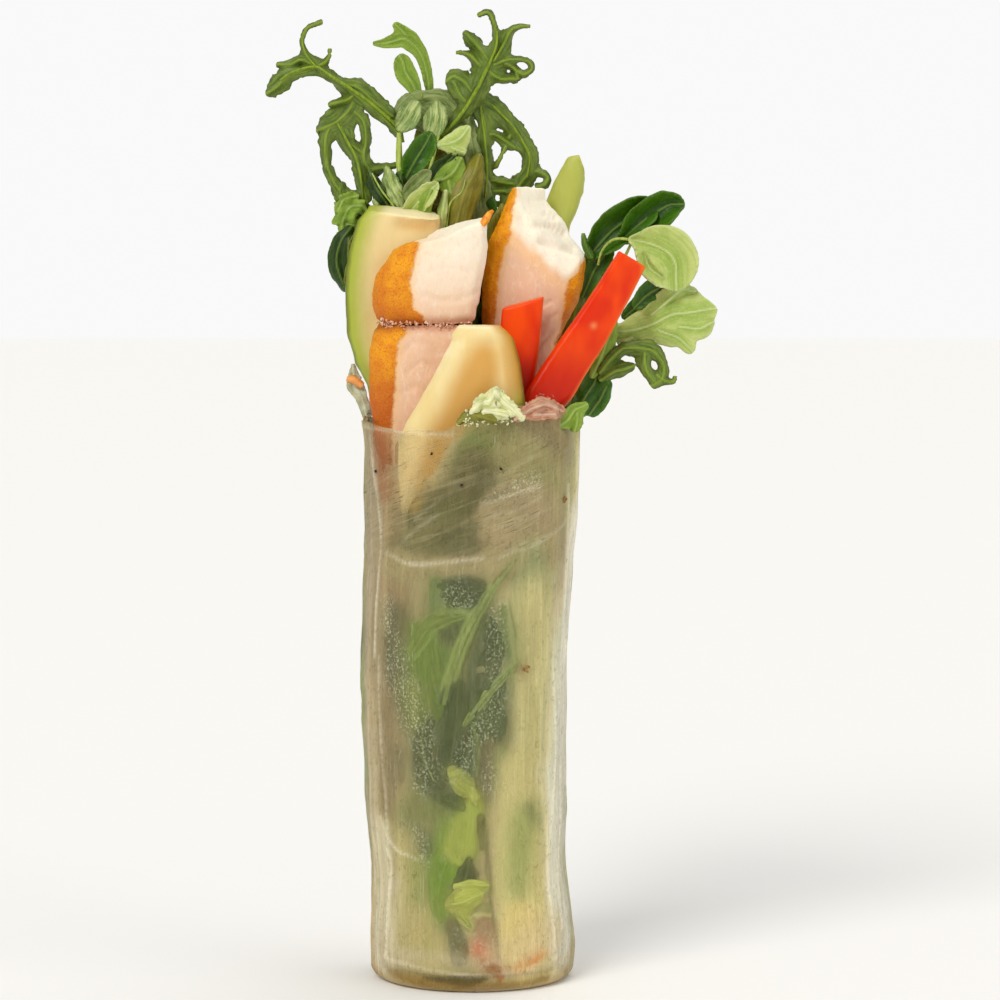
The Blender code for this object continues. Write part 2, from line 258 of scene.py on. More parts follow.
def ringFaces(rings, columns):  # quads between rings of vertices that follow each other
    low = np.arange(rings - 1)[:, None] * columns
    here = np.arange(columns)[None, :]
    after = (here + 1) % columns
    quads = np.stack([low + here, low + after, low + columns + after, low + columns + here], axis=-1)
    return quads.reshape(-1, 4).tolist()


def give(piece, slot, *replaced):  # every piece rides on the one body
    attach(piece, "root")
    if replaced:
        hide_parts(*replaced)
    return piece


# ---- the paper's wall, as the frame has it

wall = dict(
    radius=((0, 21.3), (8, 21.7), (24, 20.8), (38, 21.6), (66, 22.0), (90, 22.3), (118, 22.5), (132, 22.4)),
    rim=(
        (-180, 119.0), (-162, 119.0), (-148, 118.4), (-128, 118.0), (-108, 118.3), (-92, 119.6),
        (-72, 122.6), (-58, 123.6), (-44, 123.8), (-30, 121.4), (-15, 119.6), (20, 121), (60, 124.5),
        (95, 123.5), (122, 122.5), (140, 119.5), (158, 119), (180, 119.0),
    ),
    depthShare=0.96,
    lean=-1.9,
    footRadius=19.0,
    footRound=2.6,
    flapOut=2.2,
    flapAngle=32.0,
    flapFrom=113.0,
    flapRise=12.0,
    arc=22.0,  # radius that turns an angle into a distance round the roll
)


def wallRadius(angle, z):
    flap = np.maximum(0, 1 - np.abs(np.abs(angle) - 180) / wall["flapAngle"])
    rise = np.clip((z - wall["flapFrom"]) / wall["flapRise"], 0, 1)
    radius = eased(wall["radius"], z) + wall["flapOut"] * flap * flap * (3 - 2 * flap) * rise**1.5
    share = np.clip(1 - z / wall["footRound"], 0, 1)
    return radius - (radius - wall["footRadius"]) * (1 - np.sqrt(1 - share * share))


def bow(z):
    return wall["lean"] * np.sin(math.pi * np.clip(np.asarray(z, float) / 118, 0, 1)) ** 2


def onWall(angle, z, radius):
    turn = np.radians(angle)
    x = radius * np.cos(turn) + bow(z)
    y = radius * wall["depthShare"] * np.sin(turn)
    return np.stack([x, y, z + 0 * x], axis=-1)


def around(x, z):  # distance round the roll, from the front, of a point seen from the front
    share = np.clip((x - bow(z)) / wall["arc"], -0.995, 0.995)
    return wall["arc"] * np.arcsin(share)


def roundStroke(stroke):  # (x, z, width) points seen from the front, as rows of round, 0, z, width
    return [(float(around(x, z)), 0.0, z, width) for x, z, width in stroke]


def strokeGap(u, v, strokes, period=None):  # distance to the nearest stroke's edge, negative inside it
    best = np.full(len(u), 1e3)
    for stroke in strokes:
        path = smoothPath(stroke, 0.8)
        for start in range(0, len(u), 20000):
            part = slice(start, start + 20000)
            du = u[part, None] - path[None, :, 0]
            if period:
                du = (du + period / 2) % period - period / 2
            gap = np.hypot(du, v[part, None] - path[None, :, 2]) - path[None, :, 3]
            best[part] = np.minimum(best[part], gap.min(axis=1))
    return best


girth = 2 * math.pi * wall["arc"]


def roundGap(along, h, strokes):  # the same over the unrolled wall, for strokes seen from the front
    return strokeGap(along, h, [roundStroke(stroke) for stroke in strokes], girth)


def unrolled(angle):  # distance round the roll from the middle of the front
    return np.radians((angle + 90 + 180) % 360 - 180) * wall["arc"]


def angleAt(turn):  # the angle at a distance round the roll
    return turn / wall["arc"] * 180 / math.pi - 90


def wholeTurn(columns):  # evenly spaced angles
    return -180 + 360 * np.arange(columns) / columns


def capFaces(first, columns, middle, up):  # triangles from a ring to the point in its middle
    pairs = [(first + i, first + (i + 1) % columns) for i in range(columns)]
    return [[a, b, middle] if up else [b, a, middle] for a, b in pairs]


# ---- what shows through the paper

# Fillings and leaves that press on the paper, seen from the front, with a few marks of painted light and
# shade among them.
# Each mark: colour, softness of its edge, height, strokes of (x, z, half width).
pressed = dict(
    radius=19.5,
    low=3.5,
    gain=1.04,
    columns=312,
    rows=288,
    ground=tint(182, 170, 124),
    marks=[
        (tint(104, 112, 66), 7.0, 0.2, [[(-3, 82, 6), (-2, 72, 8.5), (-1, 60, 9.5), (-3, 48, 8.5),
            (-4, 42, 5)]]),
        (tint(130, 140, 78), 6.0, 0.2, [[(-7, 40, 6.0), (-8, 28, 7), (-8, 18, 5)]]),
        (tint(206, 200, 150), 6.0, 0.2, [[(13, 84, 5), (14, 60, 5), (14, 40, 5), (14, 14, 5)]]),
        (tint(112, 112, 72), 5.0, 0.0, [[(-17, 83, 2.6), (-17, 74, 3.8), (-15.6, 64, 3.6),
            (-15, 58, 1.6)]]),
        # painted light: a pale strip down the right side, where light shines through the paper
        (tint(250, 240, 210), 4.0, 0.0, [[(22, 112, 1.4), (20, 84, 2.6), (18, 60, 3.6), (18, 34, 3.4),
            (18, 8, 3.6)]]),
        (tint(196, 178, 140), 3.0, 0.0, [[(-21, 108, 2.4), (-21.5, 80, 2.4), (-21, 50, 2.6)]]),
        (tint(240, 228, 190), 3.0, 0.0, [[(-20.5, 34, 1.4), (-20.5, 20, 2.2), (-20, 6, 2.4)]]),
        (tint(156, 142, 102), 2.5, 0.3, [[(12, 121, 2), (17, 119, 3), (19, 114, 2)]]),
        (tint(128, 126, 70), 3.0, 0.4, [[(2, 118.5, 2.5), (7, 118, 2.5)]]),
        (tint(96, 122, 38), 3.5, 0.3, [[(0.5, 114.5, 2.6), (3, 112.4, 2.2)]]),
        (tint(106, 112, 52), 3.5, 0.3, [[(-1, 110, 3.4), (2, 108, 2.6)]]),
        # dark olive band right of and below the avocado's end: partly olive leaves, partly painted shade
        # under the avocado
        (tint(92, 88, 44), 3.4, 1.2, [[(1, 110, 4), (-1, 106, 4), (-4, 103, 4.6), (-8, 101, 4.4),
            (-12, 99.6, 3.6)]]),
        (tint(90, 94, 42), 2.0, 0.9, [[(-3, 103, 1.5), (-6, 101, 1.8), (-9.5, 98.5, 1.5)]]),
        (tint(166, 146, 106), 2.5, 0.1, [[(-19, 108, 2.5), (-18, 98, 2.0), (-17.5, 88, 3), (-17, 84, 3)]]),
        (tint(168, 104, 60), 3.0, 0.1, [[(-18.6, 113, 2.2), (-18.2, 109, 1.4), (-17.8, 105, 0.6)]]),
        (tint(118, 116, 70), 2.0, 1.0, [[(-17, 92.7, 0.8), (-13.5, 94.6, 2.4), (-9, 95.5, 3), (-4, 96, 3.4),
            (0, 96, 3)]]),
        (tint(102, 100, 60), 2.0, 0.3, [[(-3.5, 95.2, 2.4), (-0.5, 95.6, 2.4)]]),
        (tint(160, 154, 102), 3.0, 0.2, [[(9, 113, 4), (14, 110, 4), (16, 106, 3)]]),
        (tint(176, 160, 120), 1.6, 0.5, [[(5, 102, 3), (10, 102, 5), (15, 100, 4)],
            [(4, 97, 2), (9, 97, 4)]]),
        (tint(118, 116, 74), 0.6, 0.0, [[(1.7, 103.4, 0.2), (8.5, 105.6, 0.2), (16.7, 109.5, 0.1)]]),
        (tint(172, 160, 116), 1.5, 0.3, [[(-16, 90, 3), (-10, 88.8, 2.2), (-3, 89.5, 2), (1, 89.5, 1.5)]]),
        (tint(192, 182, 138), 0.5, 0.2, [[(-17, 92, 0.2), (-14.5, 90.8, 0.2), (-10.7, 90.4, 0.25),
            (-4, 91.2, 0.15)]]),
        (tint(158, 166, 116), 3.0, 0.2, [[(12, 90, 4), (13, 86, 4)]]),
        (tint(208, 202, 146), 3.0, 0.2, [[(13, 84, 3.0), (13.5, 74, 3.4), (13.6, 64, 3.4),
            (13.6, 52, 3.6)]]),
        (tint(68, 88, 54), 0.9, 0.5, [[(-5.5, 84.8, 2.4), (-2, 84.4, 3.4), (1, 84.4, 2.8)],
            [(-4, 82, 2), (0, 82, 2)]]),
        (tint(118, 140, 76), 0.8, 0.6, [[(-8.2, 86, 1.4), (-8, 83.5, 1.6), (-7.6, 81.5, 1.5)]]),
        (tint(108, 108, 72), 2.5, 0.2, [[(-17, 79, 2), (-18, 72, 2.5), (-17.5, 64, 2.5)]]),
        (tint(116, 146, 58), 1.8, 0.5, [[(-11.5, 76, 1.6), (-10, 72, 3.4), (-9.5, 66, 4), (-9, 61, 3.4)]]),
        (tint(136, 158, 76), 1.0, 0.7, [[(-13, 72, 1.5), (-9, 77.5, 1.5), (-5, 79.5, 1.4),
            (-1.5, 79.8, 0.8)]]),
        (tint(78, 96, 58), 0.8, 0.2, [[(3.8, 78.5, 1), (4.5, 74, 3), (4, 68, 4), (3, 62, 4.5), (0, 58, 5),
            (-2, 52, 5)]]),
        (tint(120, 140, 78), 1.2, 0.5, [[(7.5, 80, 1.2), (8, 76, 1.6), (8.3, 71, 1.5)]]),
        (tint(182, 186, 128), 0.5, 0.5, [[(8.4, 82, 0.15), (9, 76, 0.2), (9.8, 70, 0.2), (9, 62, 0.15)]]),
        (tint(70, 92, 50), 0.6, 0.1, [[(-5, 75.5, 1.2), (-3.5, 77, 1.0), (-1.6, 78.2, 0.4)]]),
        (tint(108, 136, 60), 1.0, 0.5, [[(-5.5, 71, 1.6), (-6.5, 66, 1.8), (-6.6, 62, 1.4)]]),
        (tint(172, 164, 114), 1.0, 0.6, [[(10.5, 92, 1.5), (7.5, 88.5, 1.4), (4.8, 85.6, 1.2)]]),
        (tint(148, 164, 90), 0.7, 0.9, [[(4.3, 85.2, 0.9), (2.5, 82, 1.0), (0.4, 79, 1.2), (-1.5, 75, 1.2),
                                         (-3.2, 71, 1.2), (-4.6, 67, 1.1), (-6, 63, 1.0)]]),
        (tint(138, 148, 80), 1.0, 0.5, [[(-13, 64, 2), (-11.5, 60, 2.6), (-12, 56, 1.6)]]),
        (tint(72, 94, 54), 1.0, 0.2, [[(-3.5, 62, 3), (-3.5, 56, 3.6), (-4, 50, 3.4)]]),
        (tint(88, 102, 60), 1.0, 0.3, [[(-9, 57, 1.2), (-11, 52, 2.4), (-10, 46, 3), (-7.5, 44, 3)]]),
        (tint(160, 144, 106), 2.5, 0.1, [[(-19, 62, 2), (-18.5, 52, 3), (-18.6, 44, 2), (-19, 38, 1.5)]]),
        (tint(120, 116, 80), 1.5, 0.1, [[(-16.5, 50, 1.2), (-16.8, 45, 1.0)]]),
        (tint(90, 110, 62), 1.2, 0.3, [[(3.5, 61.5, 1.6), (5, 58.5, 3), (5.5, 55.5, 2.4)]]),
        (tint(150, 150, 102), 1.0, 0.5, [[(2, 68.5, 0.5), (6, 69, 0.8), (10, 68.8, 0.9)]]),
        (tint(154, 172, 92), 0.5, 0.9, [[(9.6, 69.4, 0.4), (7.5, 66.9, 0.6), (4.3, 64, 0.75),
            (1.5, 61, 0.75),
                                         (-0.3, 58.5, 0.6), (-1.5, 57, 0.3)]]),
        (tint(128, 148, 76), 0.6, 0.6, [[(0.2, 57, 0.4), (1.2, 53, 0.5), (1.6, 50, 0.45), (1, 47, 0.4)]]),
        (tint(160, 130, 82), 0.8, 0.4, [[(10.6, 68.3, 0.5), (11.6, 67.6, 0.4)]]),
        (tint(120, 112, 76), 1.0, 0.1, [[(4.2, 52, 1.6), (3.6, 46, 1.4), (3.2, 41.5, 0.9)]]),
        (tint(150, 156, 98), 2.0, 0.3, [[(7, 50, 1.6), (7.5, 46, 1.8)]]),
        (tint(140, 144, 90), 2.5, 0.3, [[(-14, 38, 2.5), (-15, 33, 2.5), (-11, 34, 3)]]),
        (tint(120, 154, 54), 3.6, 0.3, [[(-1.5, 36, 2), (-4, 32, 3.4), (-6, 26, 3.6), (-7, 20, 3.0),
            (-7, 15, 2.0)]]),
        (tint(98, 110, 68), 2.4, 0.1, [[(-11, 32.5, 1.2), (-10.8, 31, 1.2)]]),
        (tint(194, 184, 128), 5.5, 0.3, [[(-16, 31, 2.4), (-15, 20, 4), (-13, 11, 6), (-9, 8, 5),
            (-6, 6, 3)]]),
        (tint(160, 168, 96), 3.0, 0.2, [[(-12.5, 26, 1.4), (-12.5, 20, 1.4)]]),
        (tint(80, 104, 46), 0.5, 0.2, [[(-6.5, 41, 1.0), (-4, 40.5, 1.6), (-2, 39.4, 1.0)]]),
        (tint(162, 174, 76), 1.8, 0.7, [[(0.4, 41.5, 0.9), (0.4, 38.5, 1.8), (-1.2, 35, 3.0),
            (-2.6, 31.0, 3.4)]]),
        (tint(170, 176, 84), 0.4, 1.1, [[(-4.2, 47, 0.9), (-2.5, 45.5, 1.3), (-0.6, 43.6, 1.0),
            (0.4, 41.8, 0.8)]]),
        (tint(134, 144, 58), 0.5, -0.3, [[(-3, 45.3, 0.6), (-2.2, 44.8, 0.5)]]),
        (tint(210, 202, 144), 4.0, 0.5, [[(10.5, 46, 4), (11, 34, 5.4), (11.5, 22, 6), (12, 12, 6),
            (12, 6, 6)]]),
        (tint(228, 216, 156), 5.0, 0.1, [[(12, 30, 3), (12, 20, 4), (12, 10, 4)]]),
        (tint(172, 180, 108), 6.0, 0.1, [[(11.5, 36, 2), (11, 28, 2.6), (10.5, 22, 2)]]),
        (tint(110, 128, 68), 1.4, 0.0, [[(13, 38.5, 0.9), (13.8, 36.8, 0.9)]]),
        (tint(226, 210, 142), 2.4, 0.1, [[(11, 14, 4), (11.5, 8, 4.4)]]),
        (tint(108, 102, 62), 0.5, -0.3, [[(2.2, 37, 0.6), (2.3, 34, 0.8), (2.6, 31, 0.5)]]),
        (tint(92, 92, 52), 0.5, -0.6, [[(3, 36, 0.15), (4, 26, 0.2), (5, 16, 0.2), (6.3, 6, 0.25)]]),
        (tint(100, 104, 58), 0.4, -0.2, [[(-0.6, 28, 0.4), (-0.8, 26, 1.3), (-1.0, 24.6, 2.2)]]),
        (tint(174, 178, 92), 0.4, 0.8, [[(-3, 22.3, 0.8), (0, 22.8, 0.8), (2.8, 22.6, 0.9)],
                                        [(-4.5, 18.5, 1.2), (-2, 19.5, 2.2), (0.5, 20.5, 1.8)],
                                        [(-2, 16, 1.4), (-0.4, 14.2, 0.7)]]),
        (tint(102, 102, 58), 0.5, 0.1, [[(-4, 22, 0.8), (-3.2, 21.4, 0.7)]]),
        (tint(146, 146, 84), 0.4, 0.3, [[(1.6, 18.3, 0.8), (3.4, 18, 0.9)]]),
        (tint(192, 192, 128), 0.4, 0.4, [[(0.2, 16.6, 0.25), (2.2, 16.3, 0.35), (4.2, 16.4, 0.25)]]),
        (tint(116, 114, 72), 0.8, -0.1, [[(-4.5, 14, 1.4), (-3.2, 10, 2), (-3, 7.4, 1.8)]]),
        (tint(162, 134, 96), 0.8, -0.1, [[(3, 14, 1.8), (3.6, 10, 2), (3.6, 8, 1.8)]]),
        (tint(206, 118, 84), 3.4, 0.1, [[(1.4, 9.4, 1.2), (2.6, 8.6, 0.8)]]),
        (tint(168, 120, 68), 0.5, 0.6, [[(3, 6.4, 0.5), (5.4, 6.2, 0.9), (6.4, 4.8, 0.8), (8, 5, 0.5)]]),
        (tint(232, 142, 62), 1.0, 0.2, [[(10, 4.8, 0.5), (12.8, 6.2, 0.6), (16, 7.6, 0.5)]]),
    ],
    # The back and sides: kind, colour range, softness, height, length, half width, count.
    turnedAway=[
        (tint(158, 152, 104), tint(176, 160, 118), 4.0, 0.2, 40, 5.0, 7),
        (tint(128, 146, 74), tint(150, 160, 92), 3.0, 0.3, 30, 4.0, 9),
        (tint(84, 104, 56), tint(112, 126, 70), 2.4, 0.3, 30, 3.0, 11),
        (tint(112, 136, 62), tint(136, 156, 80), 1.0, 0.5, 16, 2.6, 14),
        (tint(186, 184, 120), tint(202, 192, 128), 1.6, 0.5, 34, 3.4, 5),
        (tint(172, 178, 92), tint(150, 168, 84), 0.5, 0.9, 18, 0.7, 16),
        (tint(216, 150, 84), tint(200, 136, 92), 3.0, 0.2, 16, 1.2, 3),
    ],
    # Where a filling stands right behind the paper, so that nothing lies over it.
    hollows=[
        ([[(-20.5, 120, 4), (-19.8, 113, 2.2), (-19, 109, 1)]], 4.2),
        ([[(-8, 121, 5), (-10, 116, 4), (-11, 111, 2.4)]], 4.4),
    ],
)


def coreLook():
    look = Look("packed_greens", Roughness=0.6)
    look.soften(0.06, 0.8)
    streak = look.noise(look.place((1.3, 1.3, 0.13)), 1.2, 5.0, 0.7, 0.6)
    cloud = look.noise(look.place(), 0.22, 3.0, 0.5)
    grain = look.noise(look.place((1, 1, 0.6)), 2.4, 4.0, 0.75, 0.8)
    fleck = look.noise(look.place((2.4, 2.4, 1.1)), 2.6, 4.0, 0.75, 1.2)
    painted = look.attribute("paint", "Color")
    dark = look.attribute("dark")
    shade = look.mix(streak.between(0.40, 0.72) * (dark * 0.25 + 0.16), painted, tint(108, 108, 58))
    shade = look.mix(streak.between(0.56, 0.34) * 0.22, shade, tint(206, 200, 150))
    shade = look.mix(cloud.between(0.45, 0.75) * 0.16, shade, tint(168, 160, 112))
    shade = look.mix(grain.between(0.50, 0.70) * dark * 0.5, shade, tint(48, 62, 30))
    shade = look.mix(grain.between(0.48, 0.30) * dark * 0.4, shade, tint(132, 148, 84))
    look.colour(look.mix(fleck.between(0.6, 0.74) * (dark * 0.4 + 0.06), shade, tint(190, 196, 150)))
    look.relief(streak * 0.6 + grain * 0.4, 0.6, 0.5)
    return look


def pressedStrokes(picks):  # strokes that go round the back, the same each run
    made = []
    for first, second, soft, height, length, width, count in pressed["turnedAway"]:
        for _ in range(count):
            turn = picks.uniform(24, girth - 24)
            low = picks.uniform(-4, 116)
            lean = picks.uniform(-0.35, 0.35) * length
            long = length * picks.uniform(0.6, 1.2)
            bend = picks.uniform(-0.2, 0.2) * length
            wide = width * picks.uniform(0.6, 1.2)
            stroke = [
                (turn, 0.0, low, wide * 0.4),
                (turn + lean * 0.5 + bend, 0.0, low + long * 0.5, wide),
                (turn + lean, 0.0, low + long, wide * 0.3),
            ]
            share = picks.uniform()
            tone = tuple(a + (b - a) * share for a, b in zip(first, second))
            made.append((tone, soft, height, [stroke]))
    return made


def pressedMarks(along, h, body, blur=0.0):  # colour and height of what presses on the paper
    wander = layeredNoise(body, 4.0, 60) * 0.8
    if not blur:
        wander += layeredNoise(body, (0.7, 0.7, 2.6), 61, 2) * 0.55
    paint = np.tile(np.array(pressed["ground"]), (len(h), 1))
    lift = np.zeros(len(h))
    away = pressedStrokes(np.random.default_rng(7))
    front = [(tone, soft, height, [roundStroke(stroke) for stroke in strokes])
             for tone, soft, height, strokes in pressed["marks"]]
    for tone, soft, height, strokes in away + front:
        soft += blur
        gap = strokeGap(along, h, strokes, girth) - 0.35 - 0.12 * soft + wander * min(1.0, 0.25 + soft / 3)
        inside = 1 - ramp(gap, -soft / 2, soft / 2)
        if blur:
            inside *= min(1.0, max(point[3] for stroke in strokes for point in stroke) / 2)
        paint += (np.array(tone) - paint) * inside[:, None]
        lift += (height - 0.4 * lift) * inside
    return paint, lift


def packedCore():
    columns = pressed["columns"]
    angle = wholeTurn(columns)
    top = eased(wall["rim"], angle) - 1.3 + 0.7 * softNoise(onWall(angle, 118.0, 20.0), 5.0, 3)
    share = np.linspace(0, 1, pressed["rows"])[:, None]
    h = (pressed["low"] + (top - pressed["low"]) * share).ravel()
    a = np.tile(angle, pressed["rows"])
    top = np.tile(top, pressed["rows"])
    along = unrolled(a)
    body = onWall(a, h, 20.0)
    paint, lift = pressedMarks(along, h, body)
    for strokes, depth in pressed["hollows"]:
        gap = roundGap(along, h, strokes)
        lift -= depth * (1 - ramp(gap, -1.4, 1.0))
    dark = 1 - ramp(paint.sum(axis=1), 0.35, 0.85)
    paint = np.clip(paint * (pressed["gain"] + 0.3 * paint), 0, 0.92)  # the paper takes some of the light
    radius = pressed["radius"] + lift + 0.3 * layeredNoise(body, (6, 6, 14), 5)
    radius += 0.16 * layeredNoise(body, (1.6, 1.6, 5), 9)
    shoulder = ramp(h, top - 3.5, top)
    side = onWall(a, h, radius - 2.6 * shoulder**2)
    rings, tones, darks = [side], [paint], [dark]
    last = side[-columns:]
    middle = last.mean(axis=0)
    for step in (0.85, 0.7, 0.5, 0.25):  # the lumpy top
        ring = middle + (last - middle) * step
        ring[:, 2] += 1.6 * (1 - step) + 1.6 * (1 - step) ** 0.5 * softNoise(ring, 4.0, 3)
        rings.append(ring)
        # painted shade: the top under the fillings is darker
        tones.append(paint[-columns:] * 0.7)
        darks.append(dark[-columns:])
    places = np.vstack([*rings, [middle + (0, 0, 2)], [onWall(0.0, pressed["low"], 0.0)]])
    count = len(places) - 2
    faces = ringFaces(count // columns, columns)
    faces += capFaces(count - columns, columns, count, up=True)
    faces += capFaces(0, columns, count + 1, up=False)
    tone = np.vstack([*tones, [pressed["ground"]], [pressed["ground"]]])
    floats = {"dark": np.concatenate([*darks, [0, 0]])}
    piece = meshPiece("packed_core", places, faces, coreLook(), floats, {"paint": tone})
    return give(piece, "herb", "salad_bundle")


# ---- the paper film

